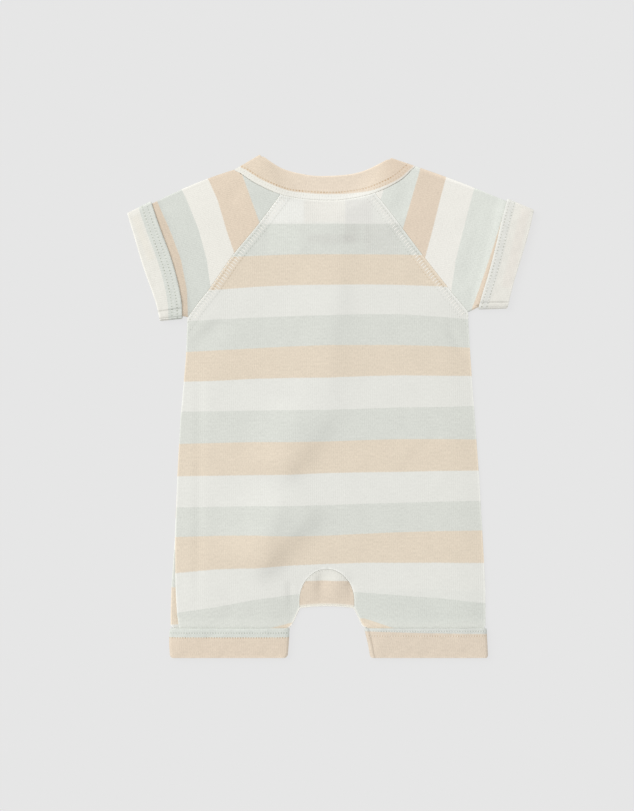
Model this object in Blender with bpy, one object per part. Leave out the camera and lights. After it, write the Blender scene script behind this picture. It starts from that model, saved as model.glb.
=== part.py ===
"""A baby's short-sleeved romper in striped cotton jersey, laid flat on its front with the back up.

The garment is built of the pieces that are cut and sewn: a back with both legs, two lapped fronts,
raglan sleeves folded along the shoulder, turned-up cuffs, a neckband and a crotch gusset.
Frame: metres, +Z up, +Y from the leg cuffs to the neck, +X to the right of the back.
The origin lies on the surface that the garment rests on, below the middle of its box.
Tables and outlines below are in millimetres; the functions that read them turn them to metres.
"""
import math

import bmesh
import bpy
import numpy as np

MM = 0.001

# Cloth and seams.
WALL = 1.2 * MM            # jersey with its pile, one layer
CUFF_WALL = 1.5 * MM       # turned-up cuff, hemmed
BAND_WALL = 1.7 * MM       # neckband, folded double
GAP = 0.3 * MM             # between neighbouring pieces
LOFT = 2.2 * MM            # how far the back stands off the front, away from the edges
EDGE_ROUND = 15.0 * MM     # distance from the outline in which the back rises to its loft
EDGE_POWER = 1.5           # how slowly it starts to rise
SINK = 0.25                # share of the loft left where the back lies in the front neck opening
FOLD_STEPS = 4             # facets round a folded edge
FOLD_HOLLOW = 0.6 * MM     # room between the layers at the folded edge of a cuff

# Neck opening of the front, an ellipse that the back sinks into.
NECK_CENTRE = (-4.0, 200.0)
NECK_HALF = (50.0, 46.0)
NECK_SINK_FROM = 0.62
NECK_SINK_TO = 0.98
BAND_RIDGE_FROM = 14.0 * MM  # from the middle of the front neckband, where the back over it starts
BAND_RIDGE_TO = 26.0 * MM    # to come down, and where it is down

# Front lap with its press studs.
LAP_LEFT = -3.0 * MM       # edge of the right front, which lies inside
LAP_RIGHT = 10.0 * MM      # edge of the left front, which lies outside
LAP_FOOT = -126.0 * MM     # lower end of the lap
NECK_FRONT_DROP = 15.0 * MM  # from the raglan corners down to the first straight row of a front
LAP_RAMP = 7.0 * MM        # length in which the inner lap comes down to the surface
LAP_CLEAR = 1.3 * GAP      # beside the outer lap's edge, before the inner lap comes down
STUD_COUNT = 7             # the first one in the neckband
STUD_RADIUS = 4.6 * MM
STUD_HEIGHT = 0.9 * MM
STUD_TOP_Y = 143.5 * MM
STUD_PITCH = 42.0 * MM
STUD_SIDES = 20

# Crotch gusset, an arch with straight feet.
GUSSET_X = -3.0 * MM
GUSSET_HALF_WIDTH = 22.5 * MM
GUSSET_RISE = 26.3 * MM
GUSSET_SPRING = -160.0 * MM
GUSSET_ANGLES = np.radians(np.linspace(0.0, 90.0, 7))
GUSSET_ROWS = 6            # from the arch down to the folded edge
APEX_SHARE = 0.99999       # the arch's width is nothing above this share of its rise
CROTCH_Y = -163.6 * MM     # folded lower edge at the middle
CROTCH_ARCH = 1.6 * MM     # how much lower that edge ends at its corners

# Cuffs.
LEG_CUFF_TOP = -182.0 * MM
LEG_END = -206.0 * MM      # end of the leg, where its cuff turns up
CUFF_RAMP = 8.0 * MM       # length in which a leg or sleeve rises into its cuff
CUFF_INSET = 2.2 * MM      # how far inside its cuff's folded edges a sleeve lies

# Seams.
SEAM_CLEAR = 1.5 * GAP     # from a raglan seam's line or the neckband's edge to a body panel
NECK_CLEAR = (3.0 * GAP, 1.6 * GAP)  # from the neckband to a sleeve, at the shoulder and the raglan seam
NECK_SHARE = {"back": 0.22, "front": 0.32}  # share of a sleeve's width that meets the neckband
WELD = 0.01 * MM           # points closer than this are one

# Rows and facets.
CHEST_ROWS = np.array([162.0, 151.0, 140.0, 128.5, 117.0, 105.0, 94.0, 84.5, 76.5, 73.0, 69.5]) * MM
WAIST_TOP, WAIST_FOOT = 58.0 * MM, -119.0 * MM
LEG_ROWS = np.array([-165.9, -170.5, -174.0, -177.3, -180.5, -181.6, -189.0, -196.0, -203.0]) * MM
BACK_WAIST_STEPS, FRONT_WAIST_STEPS = 15, 7
BACK_COLUMNS, FRONT_COLUMNS = 13, 6
SLEEVE_STATIONS = (0.0, 0.25, 0.5, 0.75, 0.88, 1.0, 1.97)  # 1 where the cuff starts, 2 where it ends
SLEEVE_NECK_STEPS = 5
SLEEVE_SEAM_STEPS = 9
CUFF_STEPS = 12
CUFF_STATIONS = (0.0, 0.15, 0.5, 0.85, 1.0)
BAND_PLACES = np.linspace(0.0, 1.0, 23)
BAND_LEFT_STEPS, BAND_RIGHT_STEPS = 14, 10


def table(columns, *rows):
    """Rows of millimetres as one array of metres for each named column."""
    return {name: np.array(column) * MM for name, column in zip(columns.split(), zip(*rows))}


def curve(*points, samples=12):
    """A smooth path through points given in millimetres, by Catmull-Rom, as metres."""
    knots = np.array(points, dtype=float)
    knots = np.vstack([2 * knots[0] - knots[1], knots, 2 * knots[-1] - knots[-2]])
    t = np.linspace(0.0, 1.0, samples, endpoint=False)[:, None]
    spans = []
    for before, start, end, after in zip(knots, knots[1:], knots[2:], knots[3:]):
        spans.append(0.5 * (2 * start + (end - before) * t
                            + (2 * before - 5 * start + 4 * end - after) * t ** 2
                            + (3 * start - before - 3 * end + after) * t ** 3))
    return np.vstack(spans + [knots[-2:-1]]) * MM


# Outlines of the neckband as it lies, from the left shoulder to the right.
BAND_TOP_BACK = curve((-57.8, 206.5), (-39.8, 195.2), (-19.3, 189.9), (-3.7, 189.0), (16.0, 190.4),
                      (30.8, 194.5), (49.6, 203.8))
BAND_FOOT_BACK = curve((-78.8, 194.2), (-60.3, 181.9), (-40.0, 173.2), (-20.0, 169.9), (0.0, 168.9),
                       (16.0, 170.2), (36.5, 174.8), (57.0, 184.8), (69.6, 197.0))
BAND_TOP_FRONT = curve((-57.8, 206.5), (-53.0, 188.0), (-43.5, 171.0), (-27.0, 158.5), (-4.0, 153.8),
                       (19.0, 158.5), (35.5, 171.0), (44.5, 188.0), (49.6, 203.8))
BAND_FOOT_FRONT = curve((-78.8, 194.2), (-70.5, 172.0), (-56.5, 151.0), (-35.0, 137.5), (-4.0, 133.0),
                        (27.0, 137.5), (48.5, 151.0), (61.5, 172.0), (69.6, 197.0))

SLEEVES = {
    "left": {
        "raglan_back": curve((-41.2, 173.0), (-59.0, 149.3), (-79.6, 124.3), (-98.2, 97.5),
                             (-108.4, 84.7), (-116.9, 73.0)),
        "raglan_front": curve((-50.0, 146.0), (-66.0, 128.5), (-84.0, 108.5), (-101.0, 89.5),
                              (-116.9, 73.0)),
        "shoulder_crown": 2.0 * MM,
        "cuff_fold": curve((-147.2, 168.1), (-139.8, 146.4), (-131.6, 124.6), (-125.6, 104.1),
                           (-122.0, 85.6), (-121.4, 71.4)),
        "cuff_edge": curve((-166.8, 158.3), (-161.1, 139.4), (-153.8, 114.8), (-143.6, 85.6),
                           (-139.8, 69.6)),
    },
    "right": {
        "raglan_back": curve((36.6, 174.4), (46.2, 162.8), (58.4, 146.6), (77.7, 120.9), (97.2, 96.0),
                             (113.2, 77.0)),
        "raglan_front": curve((42.0, 146.0), (58.0, 129.0), (78.0, 109.5), (96.0, 92.0), (113.2, 77.0)),
        "shoulder_crown": 1.0 * MM,
        "cuff_fold": curve((145.1, 170.2), (140.6, 154.2), (135.2, 131.2), (129.7, 109.9),
                           (124.2, 91.8), (120.7, 79.0)),
        "cuff_edge": curve((166.8, 161.0), (162.8, 143.5), (155.6, 118.9), (150.1, 100.9),
                           (144.9, 79.8)),
    },
}

# Side seams below the armholes: where the back, the left front and the right side end.
SIDES = table("y back_left front_left right",
              (70.0, -117.4, -117.4, 113.0),
              (38.0, -118.8, -118.8, 115.0),
              (-12.0, -123.3, -123.3, 118.6),
              (-61.0, -125.9, -125.9, 122.2),
              (-110.0, -127.4, -128.0, 125.0),
              (-147.0, -127.3, -130.6, 127.0),
              (-171.0, -126.0, -131.3, 127.2),
              (-180.5, -124.4, -131.2, 127.2),
              (-181.6, -124.2, -129.3, 125.8),
              (-203.0, -122.4, -129.5, 126.9),
              (-206.0, -122.2, -128.4, 126.0))

# Inner leg seams, below the gusset.
INSEAMS = table("y left right",
                (-165.6, -25.8, 19.8),
                (-171.4, -28.6, 22.6),
                (-177.0, -31.2, 25.2),
                (-180.5, -32.8, 26.8),
                (-181.6, -35.8, 30.2),
                (-196.0, -36.6, 33.1),
                (-203.0, -37.3, 34.3),
                (-206.0, -38.6, 35.4))

LEG_CUFFS = {
    "left": table("y outer inner",
                  (-182.0, -131.6, -33.4),
                  (-186.0, -132.3, -33.7),
                  (-196.0, -132.4, -34.3),
                  (-204.4, -131.8, -35.0),
                  (-206.5, -130.8, -36.6)),
    "right": table("y outer inner",
                   (-182.0, 128.0, 27.6),
                   (-186.0, 128.3, 28.4),
                   (-196.0, 128.8, 30.8),
                   (-204.4, 129.2, 32.2),
                   (-206.5, 128.6, 33.2)),
}

# Largest folds of the back as it lies: a run from its lower end to its upper, the width of its flank
# on each side and its height, less than nothing for a hollow.
CREASES = table("x0 y0 x1 y1 left right height",
                (-51.0, -131.0, -25.0, -28.0, 42.0, 8.0, 1.1),
                (-35.0, -61.0, 6.0, 95.0, 34.0, 9.0, 0.8),
                (3.0, -126.0, 3.0, 87.0, 7.0, 7.0, 0.4),
                (3.5, 128.0, 3.5, 156.0, 15.0, 15.0, 0.8),
                (-109.5, -192.0, -108.0, 69.0, 4.5, 5.5, -0.5),
                (113.0, 36.0, 95.0, 72.0, 5.0, 4.0, -0.7),
                (-115.0, 50.0, -84.0, 72.0, 5.0, 7.0, -0.4),
                (57.0, -53.0, 94.0, -16.0, 4.0, 5.0, -0.3),
                (21.0, -169.0, 16.0, -131.0, 5.0, 6.0, -0.5),
                (-28.0, -171.0, -23.0, -133.0, 5.0, 6.0, -0.4),
                (-107.0, -200.0, -74.0, -159.0, 6.0, 8.0, -0.4),
                (106.0, -196.0, 73.0, -151.0, 6.0, 8.0, -0.4),
                (-84.0, 165.0, -70.0, 187.0, 5.0, 5.0, -0.4),
                (-103.0, 111.0, -140.0, 157.0, 6.0, 8.0, -0.4),
                (102.0, 140.0, 127.0, 165.0, 5.0, 6.0, -0.5),
                (55.0, 151.0, 68.0, 193.0, 8.0, 8.0, -0.6),
                (110.0, 95.0, 123.0, 157.0, 5.0, 7.0, -0.4))
CREASE_FADE = 0.3          # share of a fold's length in which it fades away at each end


def step(value, start, end):
    """Rises smoothly from 0 at start to 1 at end."""
    t = np.clip((value - start) / (end - start), 0.0, 1.0)
    return t * t * (3.0 - 2.0 * t)


def blend(start, end, share):
    """The point or value at a share of the way from start to end."""
    return start + (end - start) * share


def distance(xy, path):
    """Distance in plan from each point of an array to the nearest point of a path."""
    start, run = path[:-1], np.diff(path, axis=0)
    offset = xy[..., None, :] - start
    share = np.clip((offset * run).sum(-1) / (run * run).sum(-1), 0.0, 1.0)
    return np.linalg.norm(offset - share[..., None] * run, axis=-1).min(-1)


def along(path, shares):
    """Points at shares of a path's length."""
    length = np.concatenate([[0.0], np.cumsum(np.linalg.norm(np.diff(path, axis=0), axis=1))])
    places = np.asarray(shares) * length[-1]
    return np.stack([np.interp(places, length, path[:, 0]), np.interp(places, length, path[:, 1])], axis=-1)


def share_at_x(path, x):
    """The share of its length at which a path that runs from left to right passes x."""
    length = np.concatenate([[0.0], np.cumsum(np.linalg.norm(np.diff(path, axis=0), axis=1))])
    return np.interp(x, path[:, 0], length) / length[-1]


def silhouette():
    """The garment's outline in plan, one closed path."""
    left, right = SLEEVES["left"], SLEEVES["right"]
    side_left = np.stack([SIDES["front_left"], SIDES["y"]], axis=-1)
    side_right = np.stack([SIDES["right"], SIDES["y"]], axis=-1)
    legs = []
    for name in ("left", "right"):
        sizes = LEG_CUFFS[name]
        outer = np.stack([sizes["outer"], sizes["y"]], axis=-1)
        inner = np.stack([sizes["inner"], sizes["y"]], axis=-1)
        legs.append(np.vstack([outer, inner[::-1]]))
    crotch = np.array([[GUSSET_X - GUSSET_HALF_WIDTH, CROTCH_Y], [GUSSET_X + GUSSET_HALF_WIDTH, CROTCH_Y]])
    return np.vstack([BAND_TOP_BACK[::-1], left["cuff_edge"], side_left[:-3], legs[0], crotch,
                      legs[1][::-1], side_right[:-3][::-1], right["cuff_edge"][::-1], BAND_TOP_BACK[-1:]])


SILHOUETTE = silhouette()
BAND_MIDDLE_FRONT = (along(BAND_TOP_FRONT, BAND_PLACES) + along(BAND_FOOT_FRONT, BAND_PLACES)) / 2


def loft(xy):
    """Height of the back above its lowest place: a soft crown inside the outline, with the folds."""
    crown = 1.0 - np.exp(-(distance(xy, SILHOUETTE) / EDGE_ROUND) ** EDGE_POWER)
    height = LOFT
    for x0, y0, x1, y1, left, right, crease in zip(*CREASES.values()):
        run, offset = np.array([x1 - x0, y1 - y0]), xy - (x0, y0)
        share = (offset * run).sum(-1) / (run * run).sum()
        away = (run[0] * offset[..., 1] - run[1] * offset[..., 0]) / np.linalg.norm(run)
        fade = step(share, 0.0, CREASE_FADE) * step(1.0 - share, 0.0, CREASE_FADE)
        height = height + crease * fade * np.exp(-(away / np.where(away > 0, left, right)) ** 2)
    return crown * height


def back_underside(xy, below):
    """Underside of the back layer where a front layer with its top at the height below lies under it.

    In the front neck opening the back sinks to the surface.
    """
    centre, half = np.array(NECK_CENTRE) * MM, np.array(NECK_HALF) * MM
    seated = step(np.linalg.norm((xy - centre) / half, axis=-1), NECK_SINK_FROM, NECK_SINK_TO)
    over_band = 1.0 - step(distance(xy, BAND_MIDDLE_FRONT), BAND_RIDGE_FROM, BAND_RIDGE_TO)
    below = below + (BAND_WALL - WALL) * over_band
    return seated * (below + GAP) + blend(SINK, 1.0, seated) * loft(xy)


def leg_rise(y):
    """How far a leg's front is lifted by the cuff that goes under it."""
    return (CUFF_WALL + GAP) * step(-y, -LEG_CUFF_TOP - CUFF_RAMP, -LEG_CUFF_TOP - GAP)


def at_y(path, y):
    """x where a path that only goes down or up passes the heights y."""
    order = np.argsort(path[:, 1])
    return np.interp(y, path[order, 1], path[order, 0])


def at_x(path, x):
    """y where a path that runs from left to right passes x."""
    return np.interp(x, path[:, 0], path[:, 1])


def cloth(name, colour, roughness=0.9):
    """A matt fabric material."""
    material = bpy.data.materials.new(name)
    material.use_nodes = True
    shader = material.node_tree.nodes["Principled BSDF"]
    shader.inputs["Base Color"].default_value = (*colour, 1.0)
    shader.inputs["Roughness"].default_value = roughness
    material.diffuse_color = (*colour, 1.0)
    return material


def finish(name, work, material):
    """Puts a bmesh into a named object, outward faces, smooth but for its edges."""
    bmesh.ops.recalc_face_normals(work, faces=work.faces)
    mesh = bpy.data.meshes.new(name)
    work.to_mesh(mesh)
    work.free()
    mesh.shade_smooth()
    mesh.set_sharp_from_angle(angle=math.radians(40))
    mesh.materials.append(material)
    piece = bpy.data.objects.new(name, mesh)
    bpy.context.scene.collection.objects.link(piece)
    return piece


def add_grid(work, points):
    """Faces over a grid of points, [rows, columns, 3]; returns its vertices."""
    rows, columns = points.shape[:2]
    verts = [[work.verts.new(points[i, j]) for j in range(columns)] for i in range(rows)]
    for i in range(rows - 1):
        for j in range(columns - 1):
            work.faces.new((verts[i][j], verts[i + 1][j], verts[i + 1][j + 1], verts[i][j + 1]))
    return verts


def panel(name, grids, material):
    """One flat-cut panel: grids of its underside, joined where they share an edge and raised by a wall."""
    work = bmesh.new()
    for points in grids:
        add_grid(work, points)
    bmesh.ops.remove_doubles(work, verts=work.verts, dist=WELD)
    raised = bmesh.ops.extrude_face_region(work, geom=work.faces[:])["geom"]
    verts = [item for item in raised if isinstance(item, bmesh.types.BMVert)]
    bmesh.ops.translate(work, verts=verts, vec=(0.0, 0.0, WALL))
    return finish(name, work, material)


def layer(xy, low, wall, facing):
    """Outer and inner points of a stretch that lies flat; facing is 1 for the back, -1 for the front."""
    low = np.broadcast_to(low, xy.shape[:-1])
    bottom = np.concatenate([xy, low[..., None]], axis=-1)
    top = bottom + (0.0, 0.0, wall)
    return (top, bottom) if facing > 0 else (bottom, top)


def fold(edge, inward, low, high, wall, turn):
    """Outer and inner points round a folded edge, a half ellipse, downwards for turn 1 and up for -1."""
    inward = np.array([*inward, 0.0]) / np.linalg.norm(inward)
    height = (high - low) / 2
    reach = min(height, wall + FOLD_HOLLOW)
    centre = np.array([*edge, (low + high) / 2]) + inward * reach
    angle = np.linspace(math.pi / 2, -math.pi / 2, FOLD_STEPS + 1)[::turn, None]
    out, up = -inward * np.cos(angle), np.array([0.0, 0.0, 1.0]) * np.sin(angle)
    return centre + out * reach + up * height, centre + out * (reach - wall) + up * (height - wall)


def ring(back, front, back_low, front_low, wall):
    """One section of a flattened tube: the back from one folded edge to the other, then the front back."""
    last = [layer(back[1:-1], back_low[1:-1], wall, 1)]
    inward = (back[-2] - back[-1]) + (front[-2] - front[-1])
    last.append(fold(back[-1], inward, front_low[-1], back_low[-1] + wall, wall, 1))
    last.append(layer(front[1:-1][::-1], front_low[1:-1][::-1], wall, -1))
    inward = (back[1] - back[0]) + (front[1] - front[0])
    last.append(fold(back[0], inward, front_low[0], back_low[0] + wall, wall, -1))
    return tuple(np.vstack(side) for side in zip(*last))


def walled(name, sections, closed, material):
    """A cloth wall between outer and inner sections, closed into a tube or left an open strip."""
    outer, inner = (np.stack(side) for side in zip(*sections))
    if closed:
        outer = np.concatenate([outer, outer[:, :1]], axis=1)
        inner = np.concatenate([inner, inner[:, :1]], axis=1)
    work = bmesh.new()
    skin, lining = add_grid(work, outer), add_grid(work, inner)
    rims = [(skin[0], lining[0]), (skin[-1], lining[-1])]
    if not closed:
        rims.append(([row[0] for row in skin], [row[0] for row in lining]))
        rims.append(([row[-1] for row in skin], [row[-1] for row in lining]))
    for above, below in rims:
        for a, b, c, d in zip(above, above[1:], below[1:], below):
            work.faces.new((a, b, c, d))
    bmesh.ops.remove_doubles(work, verts=work.verts, dist=WELD)
    return finish(name, work, material)


def body_levels(waist_steps, lap_rows=()):
    """Heights of the rows of the body panels: closer at the armholes, the gusset and the cuffs."""
    waist = np.linspace(WAIST_TOP, WAIST_FOOT, waist_steps)
    arch = GUSSET_SPRING + (GUSSET_RISE + GAP) * np.cos(GUSSET_ANGLES)
    return np.concatenate([CHEST_ROWS, waist, lap_rows, arch, LEG_ROWS, [LEG_END]])


def gusset_half_width(y, margin=0.0):
    """Half the width of the gusset's arch at a height, with a margin all round."""
    half, rise = GUSSET_HALF_WIDTH + margin, GUSSET_RISE + margin
    share = np.clip((y - GUSSET_SPRING) / rise, 0.0, 1.0)
    return half * np.sqrt(1.0 - share ** 2) * (share < APEX_SHARE)


def inner_edge(y, side):
    """x of a back's inner edge: the middle, then round the gusset, then the inner leg."""
    sign = -1.0 if side == "left" else 1.0
    arch = GUSSET_X + sign * gusset_half_width(y, GAP)
    leg = np.interp(-y, -INSEAMS["y"], INSEAMS[side])
    return np.where(y >= INSEAMS["y"][0], arch, leg)


def outer_edge(y, raglan, side_column):
    """x of a panel's outer edge: just inside the raglan seam, then the side seam."""
    seam = at_y(raglan, y)
    seam = seam - np.sign(seam) * SEAM_CLEAR
    return np.where(y >= raglan[-1, 1] - GAP, seam, np.interp(-y, -SIDES["y"], SIDES[side_column]))


def back_body(material):
    """The back with both legs: rows across it, left and right halves that share the middle."""
    y = body_levels(BACK_WAIST_STEPS)
    shares = np.linspace(0.0, 1.0, BACK_COLUMNS)
    grids = []
    for side, column in (("left", "back_left"), ("right", "right")):
        raglan = SLEEVES[side]["raglan_back"]
        outer = outer_edge(y, raglan, column)
        inner = inner_edge(y, side)
        x = blend(outer[:, None], inner[:, None], shares)
        xy = np.stack([x, np.broadcast_to(y[:, None], x.shape)], axis=-1)
        corner = raglan[0, 0] - np.sign(raglan[0, 0]) * SEAM_CLEAR
        neck_x = blend(corner, GUSSET_X, shares)
        neck = np.stack([neck_x, at_x(BAND_FOOT_BACK, neck_x) - SEAM_CLEAR], axis=-1)
        xy = np.concatenate([neck[None], xy])
        z = back_underside(xy, WALL + leg_rise(xy[..., 1]))
        grids.append(np.concatenate([xy, z[..., None]], axis=-1))
    return panel("back_body", grids, material)


def front_body(side, material):
    """One front with its leg, from the side seam to its edge of the front lap."""
    raglan = SLEEVES[side]["raglan_front"]
    y = body_levels(FRONT_WAIST_STEPS, (LAP_FOOT, LAP_FOOT - LAP_CLEAR, LAP_FOOT - LAP_RAMP / 2))
    y = y[y < raglan[0, 1] - NECK_FRONT_DROP]
    sign, lap_edge, column = (-1.0, LAP_RIGHT, "front_left") if side == "left" else (1.0, LAP_LEFT, "right")
    centre = GUSSET_X + sign * GAP / 2
    below_lap = np.where(y > GUSSET_SPRING + GUSSET_RISE, centre, inner_edge(y, side))
    inner = np.where(y >= LAP_FOOT, lap_edge, below_lap)
    outer = outer_edge(y, raglan, column)
    corner = raglan[0, 0] - sign * SEAM_CLEAR
    inner, outer = np.append(lap_edge, inner), np.append(corner, outer)
    lap_width = LAP_RIGHT - LAP_LEFT + 2 * GAP
    beside_lap = inner[:, None] + sign * np.array([0.0, lap_width, lap_width + LAP_RAMP])
    rest = blend(beside_lap[:, -1:], outer[:, None], np.linspace(0.0, 1.0, FRONT_COLUMNS)[1:])
    x = np.concatenate([beside_lap, rest], axis=1)
    neck_y = at_x(BAND_FOOT_FRONT, x[0]) - SEAM_CLEAR
    xy = np.stack([x, np.vstack([neck_y, np.broadcast_to(y[:, None], x[1:].shape)])], axis=-1)
    z = leg_rise(xy[..., 1])
    if side == "right":
        beside = 1.0 - step(xy[..., 0], LAP_RIGHT + GAP, LAP_RIGHT + LAP_RAMP)
        z = z + (WALL + GAP) * beside * step(xy[..., 1], LAP_FOOT - LAP_RAMP, LAP_FOOT - LAP_CLEAR)
    return panel(f"front_body_{side}", [np.concatenate([xy, z[..., None]], axis=-1)], material)


def sleeve_end(band_foot, shoulder_x, raglan):
    """The sleeve's inner end, from the shoulder along the neckband and down the raglan seam."""
    x = np.linspace(shoulder_x, raglan[0, 0], SLEEVE_NECK_STEPS + 1)
    neck = np.stack([x, at_x(band_foot, x)], axis=-1)
    run = np.gradient(neck, axis=0) * np.sign(x[-1] - x[0])
    down = np.stack([run[:, 1], -run[:, 0]], axis=-1)
    clear = np.linspace(*NECK_CLEAR, len(neck))[:, None]
    neck = neck + down / np.linalg.norm(down, axis=1, keepdims=True) * clear
    return np.vstack([neck, along(raglan, np.linspace(0.0, 1.0, SLEEVE_SEAM_STEPS + 1))[1:]])


def cuff_line(path, places):
    """Points across a sleeve where it passes a line of its cuff, kept inside the cuff's folds."""
    inset = CUFF_INSET / np.linalg.norm(path[-1] - path[0])
    return along(path, blend(inset, 1.0 - inset, places))


def sleeve(side, material):
    """A raglan sleeve: a flattened tube from the armhole seams into its cuff."""
    sizes = SLEEVES[side]
    shoulder_x = BAND_FOOT_BACK[0 if side == "left" else -1, 0]
    faces = {"back": [], "front": []}
    for face, foot in (("back", BAND_FOOT_BACK), ("front", BAND_FOOT_FRONT)):
        neck_share = NECK_SHARE[face]
        start = sleeve_end(foot, shoulder_x, sizes[f"raglan_{face}"])
        places = np.concatenate([np.linspace(0.0, neck_share, SLEEVE_NECK_STEPS + 1),
                                 np.linspace(neck_share, 1.0, SLEEVE_SEAM_STEPS + 1)[1:]])
        end, tip = cuff_line(sizes["cuff_fold"], places), cuff_line(sizes["cuff_edge"], places)
        length = np.linalg.norm(end - start, axis=1)
        ramp_from = np.clip(1.0 - CUFF_RAMP / length, 0.0, 1.0)
        for station in SLEEVE_STATIONS:
            if station <= 1.0:
                xy = blend(start, end, station)
                crown = sizes["shoulder_crown"] * 4 * station * (1 - station) * (1 - places) ** 2
                xy = xy + np.stack([np.zeros_like(crown), crown], axis=-1)
            else:
                xy = blend(end, tip, station - 1.0)
            rise = (CUFF_WALL + GAP) * step(station, ramp_from, 1.0)
            faces[face].append((xy, rise))
    sections = []
    for (back, back_rise), (front, front_rise) in zip(faces["back"], faces["front"]):
        sections.append(ring(back, front, back_underside(back, WALL + back_rise), front_rise, WALL))
    return walled(f"sleeve_{side}", sections, True, material)


def cuff(name, lines, material):
    """A turned-up cuff: a flattened ring round the cloth that goes into it, one section for each line."""
    sections = []
    for line in lines:
        inside = back_underside(line, CUFF_WALL + GAP + WALL) + WALL + 2 * GAP
        sections.append(ring(line, line, inside, np.zeros(len(line)), CUFF_WALL))
    return walled(name, sections, True, material)


def sleeve_cuff(side, material):
    """A sleeve's cuff, from its free fold to the sleeve's end."""
    sizes = SLEEVES[side]
    places = np.linspace(0.0, 1.0, CUFF_STEPS + 1)
    start, end = along(sizes["cuff_fold"], places), along(sizes["cuff_edge"], places)
    return cuff(f"sleeve_cuff_{side}", [blend(start, end, share) for share in CUFF_STATIONS], material)


def leg_cuff(side, material):
    """A leg's cuff, from its free fold to the leg's end, with rounded lower corners."""
    sizes = LEG_CUFFS[side]
    lines = []
    for y, outer, inner in zip(sizes["y"], sizes["outer"], sizes["inner"]):
        left, right = sorted((outer, inner))
        x = np.linspace(left, right, CUFF_STEPS + 1)
        lines.append(np.stack([x, np.full_like(x, y)], axis=-1))
    return cuff(f"leg_cuff_{side}", lines, material)


def gusset(material):
    """The gusset: an arch on the back, folded through the crotch, and the same arch on the front."""
    angle = np.concatenate([-GUSSET_ANGLES[:0:-1], GUSSET_ANGLES])
    x = GUSSET_X + GUSSET_HALF_WIDTH * np.sin(angle)
    top = GUSSET_SPRING + GUSSET_RISE * np.cos(angle)
    foot = CROTCH_Y - CROTCH_ARCH * np.sin(angle) ** 2
    sections = []
    for x_here, y_top, y_foot in zip(x, top, foot):
        y = np.linspace(y_top, y_foot, GUSSET_ROWS)
        line = np.stack([np.full_like(y, x_here), y], axis=-1)
        low, front_low = back_underside(line, WALL), np.zeros(len(line))
        runs = [layer(line[:-1], low[:-1], WALL, 1),
                fold(line[-1], line[-2] - line[-1], 0.0, low[-1] + WALL, WALL, 1),
                layer(line[:-1][::-1], front_low[:-1], WALL, -1)]
        sections.append(tuple(np.vstack(part) for part in zip(*runs)))
    return walled("gusset", sections, False, material)


def neckband(material):
    """The neckband: round the back neck, folded at both shoulders, its ends lapped on the front."""
    inner_lap = np.array([LAP_LEFT, (LAP_LEFT + LAP_RIGHT) / 2, LAP_RIGHT + LAP_CLEAR,
                          LAP_RIGHT + LAP_RAMP / 2, LAP_RIGHT + LAP_RAMP + GAP])
    sections = []
    for share in (0.0, 0.5, 1.0):
        back_line = blend(along(BAND_TOP_BACK, BAND_PLACES), along(BAND_FOOT_BACK, BAND_PLACES), share)
        left, right = [], []
        for path in (BAND_TOP_FRONT, BAND_FOOT_FRONT):
            left_end = share_at_x(path, LAP_RIGHT)
            left.append(along(path, np.linspace(0.0, left_end, BAND_LEFT_STEPS)))
            near = share_at_x(path, inner_lap)
            rest = np.linspace(near[-1], 1.0, BAND_RIGHT_STEPS)[1:]
            right.append(along(path, np.concatenate([near, rest])))
        left_line, right_line = blend(*left, share), blend(*right, share)
        left_low = np.zeros(len(left_line))
        beside_lap = step(right_line[:, 0], LAP_RIGHT + LAP_CLEAR, LAP_RIGHT + LAP_RAMP)
        right_low = (BAND_WALL + GAP) * (1.0 - beside_lap)
        low = back_underside(back_line, WALL)
        runs = [layer(left_line[1:][::-1], left_low[1:], BAND_WALL, -1),
                fold(back_line[0], back_line[1] - back_line[0] + left_line[1] - left_line[0],
                     0.0, low[0] + BAND_WALL, BAND_WALL, -1),
                layer(back_line[1:-1], low[1:-1], BAND_WALL, 1),
                fold(back_line[-1], back_line[-2] - back_line[-1] + right_line[-2] - right_line[-1],
                     0.0, low[-1] + BAND_WALL, BAND_WALL, 1),
                layer(right_line[:-1][::-1], right_low[:-1][::-1], BAND_WALL, -1)]
        sections.append(tuple(np.vstack(part) for part in zip(*runs)))
    return walled("neckband", sections, False, material)


def disc(name, centre, radius, low, high):
    """A round solid between two heights, without a material."""
    work = bmesh.new()
    bmesh.ops.create_cone(work, cap_ends=True, segments=STUD_SIDES, radius1=radius, radius2=radius,
                          depth=high - low)
    mesh = bpy.data.meshes.new(name)
    work.to_mesh(mesh)
    work.free()
    piece = bpy.data.objects.new(name, mesh)
    piece.location = (*centre, (low + high) / 2)
    bpy.context.scene.collection.objects.link(piece)
    return piece


def press_studs(neckband_piece, front_piece, material):
    """Caps of the press studs, each set flush into the outer layer of the lap from below."""
    for index in range(STUD_COUNT):
        centre = ((LAP_LEFT + LAP_RIGHT) / 2, STUD_TOP_Y - index * STUD_PITCH)
        cap = disc(f"press_stud_{index + 1}", centre, STUD_RADIUS, 0.0, STUD_HEIGHT)
        cap.data.materials.append(material)
        cutter = disc(f"stud_hole_{index + 1}", centre, STUD_RADIUS + GAP, -WALL, BAND_WALL + GAP / 2)
        cutter.hide_render = True
        cutter.display_type = "WIRE"
        hole = (neckband_piece if index == 0 else front_piece).modifiers.new(cutter.name, "BOOLEAN")
        hole.operation = "DIFFERENCE"
        hole.object = cutter


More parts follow.
